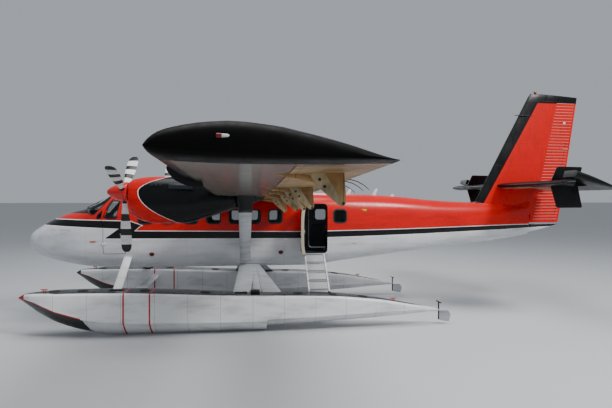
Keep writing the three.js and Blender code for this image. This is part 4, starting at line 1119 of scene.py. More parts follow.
nacellePaint = paintedSkin("glossCowlingEnamel", nacelleColour, {
    "grime": 0.4, "rough": 0.24, "tone": 0.15, "seams": [(0, 0.52, 0.008, 0.1)], "seamShade": 0.5,
    "specular": 0.25, "bump": 0.15, "rivets": [(2, 0.04, 0, 0.52, 0.13)]})
nacelleFit = {
    "mouth": [(3000, 12), (3085, 4), (3120, 0), (3330, -30)],  # station, and how much wider than its throat
    "louvres": (3560, 3650, 3740), "louvre": [(-6, 26), (8, 24), (12, 16), (12, 0)],
    "exhaust": {"start": 3930, "length": 480, "radii": [70, 68, 66, 64, 62, 62, 62, 64], "bore": 54},
    "scoop": [(4250, 0), (4290, 38), (4380, 52), (4560, 30), (4700, -20)],
}


def exhaustStub(y, way):
    # a pipe that leaves one flank and bends outwards, open at its end
    pipe = nacelleFit["exhaust"]
    path = [at(pipe["start"] + pipe["length"] * t, y + way * (330 + 100 * t ** 0.7), 3310 - 10 * t)
            for t in spread(0, 1, 8)]
    stub = tube("exhaust", path, 0, exhaustMetal, 28, radii=pipe["radii"])
    return cutPiece(stub,
                    [tube("bore", [path[4], path[-1] + Vector((0.03, 0, 0))], pipe["bore"], blackPaint, 28)])


for name, side in sides.items():
    y, z = side * engineLine["y"], engineLine["z"]
    rings = [ovalRing((3065, 3385, 2785, 205, 2.2), y, 0, 64)]
    rings += [ovalRing(formAt(nacelleForm, x), y, 0, 64) for x in
              (3072, 3082, 3095, 3112, 3130, 3150, *spread(3190, 5870, 40))]
    cowl = loftPiece("cowl", rings, nacellePaint)
    mouth = loftPiece("mouth", [ovalRing((x, 2945 + g, 2810 - g, 170 + g, 2.6), y, 0, 40)
                                for x, g in nacelleFit["mouth"]], blackPaint)
    core = turned("core", at(3000, y, z), (1, 0, 0), [(0, 78), (180, 78)], darkMetal, 40)
    parts = [cutPiece(cowl, [mouth, core], smoothBelow=28), exhaustStub(y, -1), exhaustStub(y, 1)]
    parts += [turned("louvre", at(x, y + way * 352, 3335), (0, way, 0.1),
                     nacelleFit["louvre"], blackPaint, 16)
              for x in nacelleFit["louvres"] for way in (-1, 1)]
    parts.append(loftPiece("scoop", [ovalRing((x, 3525 + rise, 3440, 70, 3), y, 0, 24)
                                     for x, rise in nacelleFit["scoop"]], nacellePaint))
    settleAll("nacelleDressed" + name.capitalize(), parts, ["nacelle_" + name], smoothBelow=28)
print("nacelles built")

# Propellers
bladeForm = [(120, 90, 70, 0), (260, 110, 52, -16), (480, 165, 34, -12), (760, 215, 24, -5),
             (1040, 225, 17, 0), (1230, 190, 12, 3), (1295, 90, 5, 4)]  # radius, chord, thickness, twist
propeller = {"x": 2950, "blades": 3, "turn": {"port": 9, "starboard": 20}}  # degrees each stands turned
bladeBands = [0.47, 0.62, 0.79, 0.93, 1.13]  # metres out where the bands change, white first


def bladeColour(tree, axes):
    # white and black bands round the blade, by radius
    _, y, z = axes
    y, z = abs(y) - engineLine["y"] / 1000, z - engineLine["z"] / 1000
    radius = (y * y + z * z).reckon("SQRT")
    dark = radius > bladeBands[-1]
    for low, high in (bladeBands[:2], bladeBands[2:4]):
        dark = dark | (radius > low) * (radius < high)
    return layered(tree, "#ececea", [(dark, "#0b0b0b")])


bladePaint = paintedSkin("bandedBladeEnamel", bladeColour, {"grime": 0.45, "rough": 0.3, "tone": 0.15})
bladeSection = [(0, 0), (0.28, 0.3), (0.55, 0.5), (0.81, 0.42), (1, 0.05)]  # root of share, half thickness
spinnerProfile = [
    (-350, 1), (-346, 18), (-335, 45), (-305, 70), (-270, 95), (-225, 119), (-180, 140), (-130, 159),
    (-80, 175), (-40, 188), (0, 200), (8, 203), (12, 199), (16, 203), (60, 208),
    (84, 207), (90, 200), (90, 1)]


def propellerBlade(hub, angle):
    # one twisted blade and its shank
    spin = Matrix.Rotation(angle, 4, "X")
    outline = sectionOutline(bladeSection, 10)
    rings = []
    for radius in spread(120, 1295, 30):
        _, chord, thick, twist = formAt(bladeForm, radius)
        turn = Matrix.Rotation(math.radians(twist), 4, "Z")
        rings.append([hub + spin @ (turn @ Vector(((a - 0.5) * chord / 1000, b * thick / 1000, 0))
                                    - Vector((0, 0, radius / 1000))) for a, b in outline])
    shank = [hub - spin @ Vector((0, 0, radius / 1000)) for radius in (90, 150, 190, 205, 240)]
    return [loftPiece("blade", rings, bladePaint),
            tube("shank", shank, 0, darkMetal, 20, radii=[58, 58, 58, 48, 46])]


for name, side in sides.items():
    hub = at(propeller["x"], side * engineLine["y"], engineLine["z"])
    parts = [turned("spinner", hub, (1, 0, 0), spinnerProfile, redPaint, 64)]
    for blade in range(propeller["blades"]):
        share = blade / propeller["blades"]
        parts += propellerBlade(hub, share * 2 * math.pi + math.radians(propeller["turn"][name]))
    settleAll("propellerDressed" + name.capitalize(), parts, ["propeller_" + name],
              f"propeller_{name}_body", 32)
print("propellers built")

# Fin and rudder
finForm = [(2380, 11665, 14500, 170), (2940, 11960, 14610, 190), (4080, 12562, 14790, 165),
           (5990, 13571, 15090, 112), (6100, 13665, 15090, 60)]  # z, leading edge, trailing edge, thickness
tipSlope = {"front": 13660, "fall": 0.0664}  # the tip's upper edge falls towards the rear
rudderHinge = {"low": (13620, 2380), "high": (14420, 6030), "gap": 8}
tailSection = [(0, 0), (0.1414, 0.36), (0.2828, 0.7), (0.469, 1), (0.6708, 0.98), (0.806, 0.72), (1, 0.05)]


def hingeX(z):
    (x0, z0), (x1, z1) = rudderHinge["low"], rudderHinge["high"]
    return x0 + (z - z0) / (z1 - z0) * (x1 - x0)


def finRow(z):
    # straight between the table's rows, as the sheet is
    z = min(max(z, finForm[0][0]), finTop - 1)
    i = max(k for k in range(len(finForm) - 1) if finForm[k][0] <= z)
    low, high = finForm[i], finForm[i + 1]
    return [a + (b - a) * (z - low[0]) / (high[0] - low[0]) for a, b in zip(low, high)]


def finHalf(x, front, rear, thickness):
    share = min(max((x - front) / (rear - front), 0), 1)
    return max(2, thickness / 2 * formAt(tailSection, math.sqrt(share))[1])


def finRing(z, start, end, front, rear, thickness, steps=18):
    xs = [start + (end - start) * (1 - math.cos(math.pi * i / steps)) / 2 for i in range(steps + 1)]
    upper = [at(x, finHalf(x, front, rear, thickness), z) for x in xs]
    return upper + [Vector((p.x, -p.y, p.z)) for p in reversed(upper)]


tailBoot = {"low": (12200, 2916), "high": (13850, 5828), "cap": 5815}


def tailColour(tree, axes):
    # red with a black leading-edge boot and a black cap
    x, _, z = axes
    (x0, z0), (x1, z1) = tailBoot["low"], tailBoot["high"]
    boot = x < (z - z0 / 1000) * ((x1 - x0) / (z1 - z0)) + stationAt(x0)
    return layered(tree, colours["red"], [(boot | (z > tailBoot["cap"] / 1000), colours["black"])])


def tipWedge():
    # what is cut away above the tip of fin and rudder
    front, reach = tipSlope["front"], 2000
    top = finForm[-1][0]
    return sidePlate("tip", [(front - 300, top), (front, top),
                             (front + reach, top - tipSlope["fall"] * reach), (front + reach, top + 200),
                             (front - 300, top + 200)], -400, 400)


tailPaint = paintedSkin("glossTailEnamel", tailColour, {
    "grime": 0.35, "rough": 0.3, "tone": 0.15, "specular": 0.3, "flow": (2.0, 2.0, 0.7),
    "seams": [(2, 0.62, 0.006, 0.3)], "seamShade": 0.35})
finTop = 6100


def skinHalfAt(x, z):
    # half thickness of fin and rudder at a station and height
    return finHalf(x, *finRow(z)[1:])


def hingeArc(z, start, end, count, gap=0):
    # radius and arc of the rudder's nose, or of the bay it turns in, at a height
    radius = skinHalfAt(hingeX(z), z) + gap
    return radius, [at(hingeX(z) + radius * math.cos(a), radius * math.sin(a), z)
                    for a in spread(start, end, count)]


finPart = loftPiece("finPart", [finRing(z, finRow(z)[1], hingeX(z) + 20, *finRow(z)[1:]) for z in
                                [*spread(2600, 5990, 24), 6030, 6060, 6099]], tailPaint)
dorsalForm = [(2700, 11200, 160), (2850, 11350, 158), (2920, 11650, 150), (2990, 11950, 146)]
dorsal = loftPiece("dorsal",
                   [finRing(z, front, 13300, front, 15600, thick)
                    for z, front, thick in dorsalForm], tailPaint)
rudderBay = []
for z in (2300, finTop + 40):
    radius, arc = hingeArc(z, math.pi / 2, 1.5 * math.pi, 24, rudderHinge["gap"])
    rudderBay.append(arc + [at(hingeX(z) + 400, -radius, z), at(hingeX(z) + 400, radius, z)])
cutPiece(finPart, [loftPiece("bay", rudderBay, darkMetal), tipWedge()])
fairingRows = [[(11900, 60, 2930), (13560, 115, 2800)],
               [(12080, 40, 3010), (13600, 84, 2960)]]  # below, above
fairing = loftPiece("fairing", [[at(x, -half, z) for x, half, z in row]
                                + [at(x, half, z) for x, half, z in row[::-1]]
                                for row in fairingRows], tailPaint)
settleAll("finDressed", [finPart, dorsal, fairing], ["fin"], smoothBelow=20)

rudderRows = []
for z in [*spread(2380, 5990, 30), 6030, 6060, 6099]:
    nose = hingeArc(z, 1.5 * math.pi, math.pi / 2, 14)[1]
    tail = [at(x, skinHalfAt(x, z), z) for x in spread(hingeX(z), finRow(z)[2], 9)[1:]]
    rudderRows.append(nose + tail + [Vector((p.x, -p.y, p.z)) for p in reversed(tail)])
rudderSkin = cutPiece(loftPiece("rudderSkin", rudderRows, tailPaint), [tipWedge()])

# Stiffening ribs along the rudder, then its tab line, tab rods and lamp
ribs = {"count": 40, "low": 2470, "high": 5820, "half": (0.006, 0.0105), "front": 60, "rear": 45}
ribUnit = loftPiece("ribUnit", [[Vector((x, ribs["half"][0] * math.sin(a) * k,
                                         ribs["half"][1] * math.cos(a) * k))
                                 for a in spread(0, 2 * math.pi, 9)[:-1]]
                                for x, k in ((0, 0.2), (0.03, 1), (0.97, 1), (1, 0.2))])
ribPlaces, ribTurns, ribSizes = [], [], []
for z in spread(ribs["low"], ribs["high"], ribs["count"]):
    for side in (-1, 1):
        a, b = (at(x, side * skinHalfAt(x, z), z)
                for x in (hingeX(z) + ribs["front"], finRow(z)[2] - ribs["rear"]))
        ribPlaces.append(a)
        ribTurns.append((0, 0, math.atan2(b.y - a.y, b.x - a.x)))
        ribSizes.append(((b - a).length, 1, 1))
# the ribs take the pale pink: a painted highlight on the red rudder's beads
rudderParts = [rudderSkin, repeatOn("rudderRibs", ribPlaces, ribUnit, ribHighlightPaint, ribTurns, ribSizes)]
rudderTab = {"chord": 150, "low": 2600, "high": 4700, "rods": (2900, 3900, 4500),
             "rodAhead": 230, "rodLength": 170, "lamp": (14690, 5254)}
for side in (-1, 1):
    ends = [at(x, side * (skinHalfAt(x, z) + 1), z) for x, z in
            ((finRow(z)[2] - rudderTab["chord"], z) for z in (rudderTab["low"], rudderTab["high"]))]
    rudderParts.append(tube("tabGap", ends, 5, blackPaint, 8))
    for z in rudderTab["rods"]:
        x = finRow(z)[2] - rudderTab["rodAhead"]
        ends = [at(x, side * (skinHalfAt(x, z) + 14), z) for x in (x, x + rudderTab["rodLength"])]
        rudderParts.append(tube("tabRod", ends, 7, edgePaint, 10))
    x, z = rudderTab["lamp"]
    rudderParts.append(turned("rudderLamp", at(x, side * (skinHalfAt(x, z) - 6), z), (0, side, 0),
                              [(0, 40), (10, 38), (24, 24), (30, 2)], clearLens, 24))
settleAll("rudderDressed", rudderParts, ["rudder"], "rudder_body", 28)

# Tailplane, elevators and finlets
tailplane = {"x": 12600, "z": 3430, "chord": 1480, "halfSpan": 3145, "thickness": 0.11}
elevator = {"hinge": 13560, "droop": 18, "inner": 275, "hornInner": 2650, "hornFront": 12890, "gap": 8}
finletForm = [(12965, 2835), (12790, 3410), (12790, 3450), (12970, 3840), (13625, 3830), (13500, 3460),
              (13500, 3400), (13625, 2840)]


def tailRing(y, side, front, rear, thickness, steps=20):
    shares = [(1 - math.cos(math.pi * i / steps)) / 2 for i in range(steps + 1)]
    upper = [(share, max(2, thickness / 2 * formAt(tailSection, math.sqrt(share))[1])) for share in shares]
    lower = [(share, -half) for share, half in reversed(upper)]
    return [at(front + share * (rear - front), side * y, tailplane["z"] + half)
            for share, half in upper + lower]


def tailSurface(name, side, start):
    x, chord, span = tailplane["x"], tailplane["chord"], tailplane["halfSpan"]
    rows = [(start, 0, 1), (span - 140, 0, 1), (span - 80, 8, 0.93), (span - 40, 25, 0.75),
            (span - 12, 55, 0.48),
            (span, 90, 0.12)]  # out, set back, share of the thickness
    return loftPiece(name, [tailRing(y, side, x + inset, x + chord - inset * 0.3,
                                     chord * tailplane["thickness"] * share)
                            for y, inset, share in rows], tailplanePaint)


def elevatorSpace(side, grow):
    # what the elevator and its horn take up, or that with a gap all round
    hinge, z = elevator["hinge"], tailplane["z"]
    share = (hinge - tailplane["x"]) / tailplane["chord"]
    nose = tailplane["chord"] * tailplane["thickness"] / 2 * formAt(tailSection, math.sqrt(share))[1] + grow
    parts = []
    for radius, low, high in ((nose, elevator["inner"] - grow, tailplane["halfSpan"] + 30),
                              (hinge - elevator["hornFront"] + grow, elevator["hornInner"] - grow,
                               tailplane["halfSpan"] + 40)):
        profile = [(hinge + radius * math.cos(a), z + radius * math.sin(a))
                   for a in spread(math.pi / 2, 1.5 * math.pi, 40)]
        profile += [(hinge + 1500, z - radius), (hinge + 1500, z + radius)]
        parts.append(sidePlate("space", profile, side * low, side * high))
    return parts


def tailplaneColour(tree, axes):
    # black, with a beige underside near the root
    _, y, z = axes
    return layered(tree, colours["black"], [((z < 3.37) * (abs(y) < 1.5), "#8d836f")])


tailplanePaint = paintedSkin("glossTailplaneEnamel", tailplaneColour, {
    "grime": 0.3, "rough": 0.34, "tone": 0.15, "specular": 0.2,
    "seams": [(1, 0.52, 0.006, 0.1)], "seamShade": 0.4})
for name, side in sides.items():
    plane = tailSurface("tailplaneDressed" + name.capitalize(), side, 10)
    cutPiece(plane, elevatorSpace(side, elevator["gap"]))
    settle(plane, ["tailplane_" + name])
    moving = tailSurface("elevatorDressed" + name.capitalize(), side, elevator["inner"])
    main, horn = elevatorSpace(side, 0)
    cutPiece(moving, [cutPiece(main, [horn], "UNION")], "INTERSECT")
    pin = at(elevator["hinge"], 0, tailplane["z"])
    droop = Matrix.Rotation(math.radians(elevator["droop"]), 4, "Y")
    moving.data.transform(Matrix.Translation(pin) @ droop @ Matrix.Translation(-pin))
    settle(moving, ["elevator_" + name], f"elevator_{name}_body")
    plate = sidePlate("finlet", softened(finletForm, 45, 5), side * 2307, side * 2333, glossBlack)
    settle(roundEdges(plate, 0.006, 3), ["finlet_" + name])
print("tail built")

# Floats
floatLine = 1950
floatForm = [  # x, deck height, deck half width, chine height, chine half width, keel height
    (500, 880, 20, 862, 24, 845), (640, 950, 120, 850, 120, 745), (900, 975, 235, 780, 225, 545),
    (1350, 990, 320, 590, 315, 290), (1950, 990, 365, 420, 370, 100), (2600, 985, 385, 335, 395, 0),
    (5150, 872, 390, 290, 400, 0), (5950, 850, 380, 285, 395, 0),
]
sternForm = [(5950, 850, 380, 320, 380, 105), (7150, 818, 340, 350, 335, 150),
             (8500, 690, 245, 385, 240, 215), (9450, 520, 140, 390, 140, 285), (10100, 390, 30, 360, 34, 330)]


def floatRing(side, row):
    x, deck, deckHalf, chine, chineHalf, keel = row
    edge = min(60, deckHalf * 0.4)
    lip = min(22, (deck - chine) * 0.3)
    half = [(0, keel), (chineHalf * 0.33, keel + (chine - keel) * 0.24),
            (chineHalf * 0.66, keel + (chine - keel) * 0.56), (chineHalf * 0.9, keel + (chine - keel) * 0.86),
            (chineHalf, chine), (chineHalf * 0.99, chine + lip)]
    top, foot = deck - edge, chine + lip
    half += [(chineHalf * 0.99 + (deckHalf - chineHalf * 0.99) * t, foot + (top - foot) * t)
             for t in (0.33, 0.66, 1)]
    half += [(deckHalf - edge * (1 - math.cos(a)), top + edge * math.sin(a))
             for a in spread(0, math.pi / 2, 6)[1:]]
    half += [((deckHalf - edge) * t, deck + 6 * (1 - t)) for t in (0.6, 0.2)]
    ring = half + [(-y, z) for y, z in reversed(half[1:])]
    return [at(x, side * floatLine + y, z) for y, z in ring]


floatMarks = {  # [mm aft of the nose, mm]: heights, and the walkway's half width
    "deck": [(500, 866), (640, 925), (900, 950), (1350, 968), (2600, 962), (5150, 848),
             (7150, 794), (8500, 665), (9450, 500), (10100, 372)],
    "walkway": [(500, 0), (700, 90), (1350, 290), (2600, 345), (7150, 300), (9450, 90), (9800, 0)],
    "chine": [(500, 862), (640, 850), (900, 780), (1350, 590), (1950, 420), (2600, 335)],
    "bow": [(500, 850), (640, 845), (900, 772), (1350, 580), (1950, 410), (2060, 120), (2160, -20)],
    "bands": (2810, 3370), "chineEnd": 1900, "cap": 650,
}


def floatColour(tree, axes):
    # white with two red bands, black under the bow, a red line on its chine and a black deck walkway
    x, y, z = axes
    deck, walkway, chine, bow = (lineHeight(x, floatMarks[key])
                                 for key in ("deck", "walkway", "chine", "bow"))
    layers = [((z > deck) * (abs(abs(y) - floatLine / 1000) < walkway), "#101112")]
    layers += [(abs(x - stationAt(band)) < 0.018, "#c2121a") for band in floatMarks["bands"]]
    cap = x < stationAt(floatMarks["cap"])
    return layered(tree, colours["white"], layers + [
        ((abs(z - chine) < 0.014) * (x < stationAt(floatMarks["chineEnd"])), "#b3131a"), (z < bow, "#141516"),
        (cap, "#b0121a"), (cap * (y > 0.0), "#141516")])  # red bow tip to port, black to starboard


floatPaint = paintedSkin("glossFloatEnamel", floatColour, {
    "grime": 0.5, "rough": 0.26, "tone": 0.2, "shade": "#b6bcc4", "flow": (0.5, 1.5, 2.0),
    "seams": [(0, 0.72, 0.008, 0.25)], "seamShade": 0.5, "bump": 0.2})
waterRudder = {"x": 10118, "top": 560, "bottom": 60, "chord": 330, "blade": 16, "tiller": 150}
hatches = {"stations": [1250, 1850, 3200, 4550, 6700, 7500, 8250],
           "profile": [(-4, 115), (5, 115), (9, 110), (9, 92), (6, 88), (6, 30), (10, 26), (10, 1)]}
cleat = {"stations": (1030, 9000),
         "horn": [(-70, 66, 8), (-40, 56, 12), (40, 56, 12), (70, 66, 8)], "posts": (-22, 22)}


def hullAt(x):
    return formAt(floatForm if x < sternForm[0][0] else sternForm, x)


def deckAt(x):
    return hullAt(x)[1]


def floatDressed(name, side):
    y = side * floatLine
    bow = [floatRing(side, formAt(floatForm, x)) for x in
           (*spread(500, 640, 8), *spread(670, 2000, 24), *spread(2100, 5950, 22))]
    stern = [floatRing(side, formAt(sternForm, x)) for x in spread(5950, 10100, 30)]
    parts = [loftPiece("bow", bow, floatPaint, 40), loftPiece("stern", stern, floatPaint, 40)]
    hatch = turned("hatchUnit", Vector((0, 0, 0)), (0, 0, 1), hatches["profile"], None, 28)
    places = [at(x, y, deckAt(x) + 3) for x in hatches["stations"]]
    slopes = [(0, -math.atan2(deckAt(x + 50) - deckAt(x - 50), 100), 0) for x in hatches["stations"]]
    sizes = [(min(1, (hullAt(x)[2] - 60) / 190),) * 2 + (1,) for x in hatches["stations"]]
    parts.append(repeatOn("hatches" + name, places, hatch, tread, slopes, sizes))
    for x in cleat["stations"]:
        deck = deckAt(x)
        horn = [at(x + dx, y, deck + rise) for dx, rise, _ in cleat["horn"]]
        parts.append(tube("cleat", horn, 0, redPaint, 12, radii=[radius for *_, radius in cleat["horn"]]))
        parts += [tube("post", [at(x + dx, y, deck - 5), at(x + dx, y, deck + 56)], 10, redPaint, 12)
                  for dx in cleat["posts"]]
    lug = boxPiece("lug", (9900, y - 34, 345), (10168, y + 34, 375), greyPaint, 6)
    bore = tube("bore", [at(10138, y, 300), at(10138, y, 420)], 18.5, darkMetal, 24)
    parts.append(cutPiece(lug, [bore]))
    settleAll("floatDressed" + name.capitalize(), parts, ["float_" + name], smoothBelow=40)


def waterRudderDressed(name, side):
    y = side * floatLine
    x, top, bottom, chord = (waterRudder[key] for key in ("x", "top", "bottom", "chord"))
    outline = [(x + 16, top - 225), (x + chord * 0.8, top - 225), (x + chord, top - 330),
               (x + chord * 0.85, bottom), (x + 40, bottom + 40)]
    half, reach = waterRudder["blade"] / 2, waterRudder["tiller"]
    blade = roundEdges(sidePlate("blade", softened(outline, 35, 4), y - half, y + half, aluminium), 0.003)
    post = tube("post", [at(x + 20, y, bottom + 60), at(x + 20, y, top)], 17, darkMetal, 20)
    tiller = boxPiece("tiller", (x + 5, y - reach, top - 22), (x + 35, y + reach, top), darkMetal, 5)
    settleAll("waterRudderDressed" + name.capitalize(), [blade, post, tiller],
              ["water_rudder_" + name], f"water_rudder_{name}_body")


for name, side in sides.items():
    floatDressed(name, side)
    waterRudderDressed(name, side)
print("floats built")

# Legs and spreaders between floats and fuselage
legs = {  # top, foot, chord at the top, thickness, chord at the foot
    "front": [((2570, 760, 1640), (2560, 1900, 960), 190, 130, 200)],
    "rear": [((5500, 630, 1385), (5360, 1890, 850), 400, 170, 410),
             ((5680, 640, 1385), (5730, 1890, 800), 100, 90, 210),
             ((5745, 645, 1385), (6095, 1890, 790), 120, 90, 490)],
}
legPaint = {"front": (whitePaint, "white_paint"), "rear": (greyPaint, "grey_paint")}
spreaders = {"front": (2850, 800), "rear": (6050, 700)}  # station and height
for name, side in sides.items():
    for kind, members in legs.items():
        paint, slot = legPaint[kind]
        parts = []
        for top, foot, chord, thick, footChord in members:
            a, b = at(top[0], side * top[1], top[2]), at(foot[0], side * foot[1], foot[2])
            parts.append(loftPiece("leg", [legRing(a + (b - a) * t,
                                                   chord + (footChord - chord) * t, thick * 0.86)
                                           for t in spread(0, 1, 5)], paint))
        x, y = members[0][1][0], side * 1900
        parts.append(boxPiece("shoe", (x - 140, y - 80, deckAt(x) - 10), (x + 150, y + 80, deckAt(x) + 22),
                              darkMetal, 8))
        if kind == "rear":
            y, deck = side * 1890, deckAt(5700)
            parts.append(boxPiece("box", (5590, y - 90, deck - 10),
                                  (5800, y + 80, deck + 70), blackPaint, 12))
        settleAll(f"{kind}LegDressed{name.capitalize()}", parts, [f"{kind}_leg_{name}"])
for kind, (x, height) in spreaders.items():
    outline = sectionOutline([(0, 0), (0.35, 0.36), (0.59, 0.5), (0.84, 0.34), (1, 0.05)], 14)
    bar = loftPiece(kind + "SpreaderDressed", [[at(x + (a - 0.5) * 250, y, height + b * 90)
                                                for a, b in outline]
                                               for y in (-1562, -1500, 1500, 1562)], greyPaint)
    settle(bar, [kind + "_spreader"])
print("legs built")

# Ladder on the port float
ladder = {"front": 6985, "rear": 7475, "foot": (-1760, 814), "head": (-900, 1620), "rail": (62, 26),
          "treads": [0.06, 0.3, 0.54, 0.78], "riser": (0.02, 0.205), "grips": 5,
          "hook": [(-908, 1600), (-870, 1612), (-820, 1608), (-790, 1596), (-782, 1580)]}


def ladderAt(share):
    (footY, footZ), (headY, headZ) = ladder["foot"], ladder["head"]
    return footY + (headY - footY) * share, footZ + (headZ - footZ) * share


def ladderBoard(name, x0, x1, start, end, half, material, edge):
    # a flat board along the slope between two stations, as deep across the slope as twice its half
    along = (at(0, *ladderAt(1)) - at(0, *ladderAt(0))).normalized()
    outward = Vector((0, -along.z, along.y)) * (half / 1000)
    low, high = at(0, *ladderAt(start)), at(0, *ladderAt(end))
    outline = [low - outward, high - outward, high + outward, low + outward]
    rings = [[point + Vector((x / 1000, 0, 0)) for point in outline] for x in (x0, x1)]
    return roundEdges(loftPiece(name, rings, material), edge / 1000)


parts = []
wide, thick = ladder["rail"]
footY, footZ = ladder["foot"]
for x in (ladder["front"], ladder["rear"]):
    parts.append(ladderBoard("rail", x - thick / 2, x + thick / 2, 0, 1, wide / 2, whitePaint, 4))
    parts.append(tube("hook", [at(x, y, z) for y, z in ladder["hook"]], 11, aluminium, 14))
    parts.append(boxPiece("foot", (x - 26, footY - 34, footZ - 20),
                          (x + 26, footY + 34, footZ + 14), rubber, 5))
for share in ladder["treads"]:
    y, z = ladderAt(share)
    parts.append(boxPiece("tread", (ladder["front"] - 4, y - 52, z - 14),
                          (ladder["rear"] + 4, y + 52, z + 14), scuffedGrey, 4))
    parts += [boxPiece("grip", (ladder["front"] + 25, y - 44 + 20 * k, z + 12),
                       (ladder["rear"] - 25, y - 36 + 20 * k, z + 17), rubber, 1)
                       for k in range(ladder["grips"])]
    parts.append(ladderBoard("riser", ladder["front"] + 18, ladder["rear"] - 18, share + ladder["riser"][0],
                             share + ladder["riser"][1], 6, scuffedGrey, 2))
settleAll("ladderDressed", parts, ["ladder"])
print("ladder built")

# Seats: crowned cushions on a metal frame
seats = {"base": 1600, "rows": [2960, 3740, 4520, 5300, 6080], "crew": 1990, "bench": 7680, "height": 860,
         "crewHeight": 1050, "pairs": [(-555, 400, 1), (330, 800, 2)],  # middle, width and places of a group
         "tracks": [-560, 120, 560], "benchTracks": [-560, 0, 560], "posts": (75, 345), "railHeight": 335}


def cushion(name, centre, size, tilt, seamsAcross=3, across=20, deep=20):
    # a closed crowned pad: a box with full corners and sewn grooves across its top
    length, width, thick = (value / 2000 for value in size)
    turn = Matrix.Rotation(tilt, 4, "Y")
    rings = []
    for i in range(deep + 1):
        u = -1 + 2 * i / deep
        end = (1 - abs(u) ** 5) ** 0.35 if abs(u) < 1 else 0.02
        ring = []
        for k in range(across * 2):
            angle = 2 * math.pi * k / (across * 2)
            c, s = math.cos(angle), math.sin(angle)
            y = math.copysign(abs(c) ** 0.38, c)
            z = math.copysign(abs(s) ** 0.38, s)
            groove = sum(math.exp(-((u - g) / 0.035) ** 2) for g in spread(-0.62, 0.62, seamsAcross))
            middle = 1 + 0.16 * (1 - y * y) * (1 - u * u)
            lift = thick * z * (0.84 * middle - 0.07 * groove * (1 if z > 0 else 0)) * max(0.18, end)
            ring.append(centre + turn @ Vector((length * u, width * y * (0.9 + 0.1 * end), lift)))
        rings.append(ring)
    return loftPiece(name, rings, leather, 60)


def seatPads(x, y, width, height, places):
    # seat and back cushions for each place
    base, pads = seats["base"], []
    share = width / places
    for k in range(places):
        middle = y - width / 2 + share * (k + 0.5)
        pads.append(cushion("seatPad", at(x + 212, middle, base + 392), (425, share - 8, 118), 0.0))
        back = math.atan2(110, height - 400)
        pads.append(cushion("backPad", at(x + 482, middle, base + 400 + (height - 410) / 2),
                            (height - 400, share - 8, 96), -(math.pi / 2 - back), 4))
    return pads


def seatFrame(x, y, width, tracks):
    base, rail, parts = seats["base"], seats["base"] + seats["railHeight"], []
    front, rear = (x + dx for dx in seats["posts"])
    for railY in (y - width / 2 + 30, y + width / 2 - 30):
        parts.append(tube("rail", [at(x + 20, railY, rail), at(x + 430, railY, rail)], 15, aluminium, 12))
    for track in tracks:
        parts.append(boxPiece("track", (x, track - 19, base), (x + 400, track + 19, base + 28), aluminium, 3))
        for post in (front, rear):
            parts.append(tube("post", [at(post, track, base + 15), at(post, track, rail)], 14, darkMetal, 12))
        parts.append(tube("brace",
                          [at(front, track, base + 40), at(rear, track, rail - 25)], 9, darkMetal, 10))
    return parts


def seatUnit(name, x, node, groups, tracks):
    # one row of seats, in groups beside the aisle
    parts = []
    for y, width, places in groups:
        parts += seatPads(x, y, width, seats["height"], places)
        own = [track for track in tracks if len(groups) == 1 or abs(track - y) < width / 2 + 60]
        parts += seatFrame(x, y, width, own)
    settleAll(name, parts, [node], smoothBelow=50)


for row, x in enumerate(seats["rows"], 1):
    seatUnit(f"seatRow{row}", x, f"seat_row_{row}", seats["pairs"], seats["tracks"])
seatUnit("rearBench", seats["bench"], "rear_bench", [(0, 1240, 3)], seats["benchTracks"])
for name, side in sides.items():
    x, y = seats["crew"], side * 400
    parts = seatPads(x, y, 440, seats["crewHeight"], 1) + seatFrame(x, y, 440, [y])
    parts.append(cushion("headPad", at(x + 530, y, seats["base"] + 985), (120, 260, 90), -1.4, 2))
    parts.append(boxPiece("pedestal", (2110, y - 108, 1602), (2388, y + 108, 1930), plastic, 12))
    piece = settleAll("crewSeat" + name.capitalize(), parts,
                      ["crew_seat_" + name], smoothBelow=50)
print("seats built")

# Cockpit: panel with dials, pedestal with levers, control column
cockpit = {
    "board": [(1440, 2080), (1530, 2080), (1500, 2600), (1330, 2600)], "dialRows": [2190, 2330, 2470],
    "dialColumns": [-520, -400, -280, -150, -50, 50, 150, 280, 400, 520],
    "levers": [-90, -54, -18, 18, 54, 90], "knob": [(-4, 2), (0, 13), (16, 15), (28, 11), (32, 2)],
    "columnX": 1790, "handY": 138,
    "yoke": [(138, 2318), (134.32, 2250), (117.76, 2196), (73.6, 2172), (0, 2176), (-73.6, 2172),
             (-117.76, 2196), (-134.32, 2250), (-138, 2318)],  # out from its own middle, height
}


def dial(y, z):
    # bezel, marks and needle on the sloping face that the crew look at
    x = 1530 - 30 * (z - 2080) / 520
    reach = 46 if abs(y) > 200 else 32
    rim, length = reach - 12, 0.7 * (reach - 14)
    parts = [turned("bezel", at(x - 4, y, z), (1, 0, 0.06),
                    [(0, reach), (9, reach), (10, reach - 7), (5, reach - 9), (4, 1)], dialFace, 28)]
    for angle in spread(0.7, 5.6, 9):
        parts.append(turned("mark",
                            at(x + 3, y + math.cos(angle) * rim, z + math.sin(angle) * rim), (1, 0, 0),
                            [(0, 2.4), (1.5, 2.2), (1.5, 0)], clearLens, 6))
    tip = at(x + 4, y + length * math.sin(y + z), z + length * math.cos(y + z))
    return parts + [tube("needle", [at(x + 4, y, z), tip], 1.8, clearLens, 6)]


parts = [roundEdges(sidePlate("board", cockpit["board"], -598, 598, plastic), 0.01)]
for z in cockpit["dialRows"]:
    for y in cockpit["dialColumns"]:
        parts += dial(y, z)
parts.append(boxPiece("pedestal", (1450, -168, 1602), (1638, 168, 2096), plastic, 14))
for k, y in enumerate(cockpit["levers"]):
    parts.append(tube("lever", [at(1560, y, 2085), at(1585, y, 2150)], 5, aluminium, 10))
    material = redPaint if k > 3 else plastic
    parts.append(turned("knob", at(1585, y, 2150), (0.3, 0, 1), cockpit["knob"], material, 16))
settleAll("instrumentPanelDressed", parts, ["instrument_panel"])

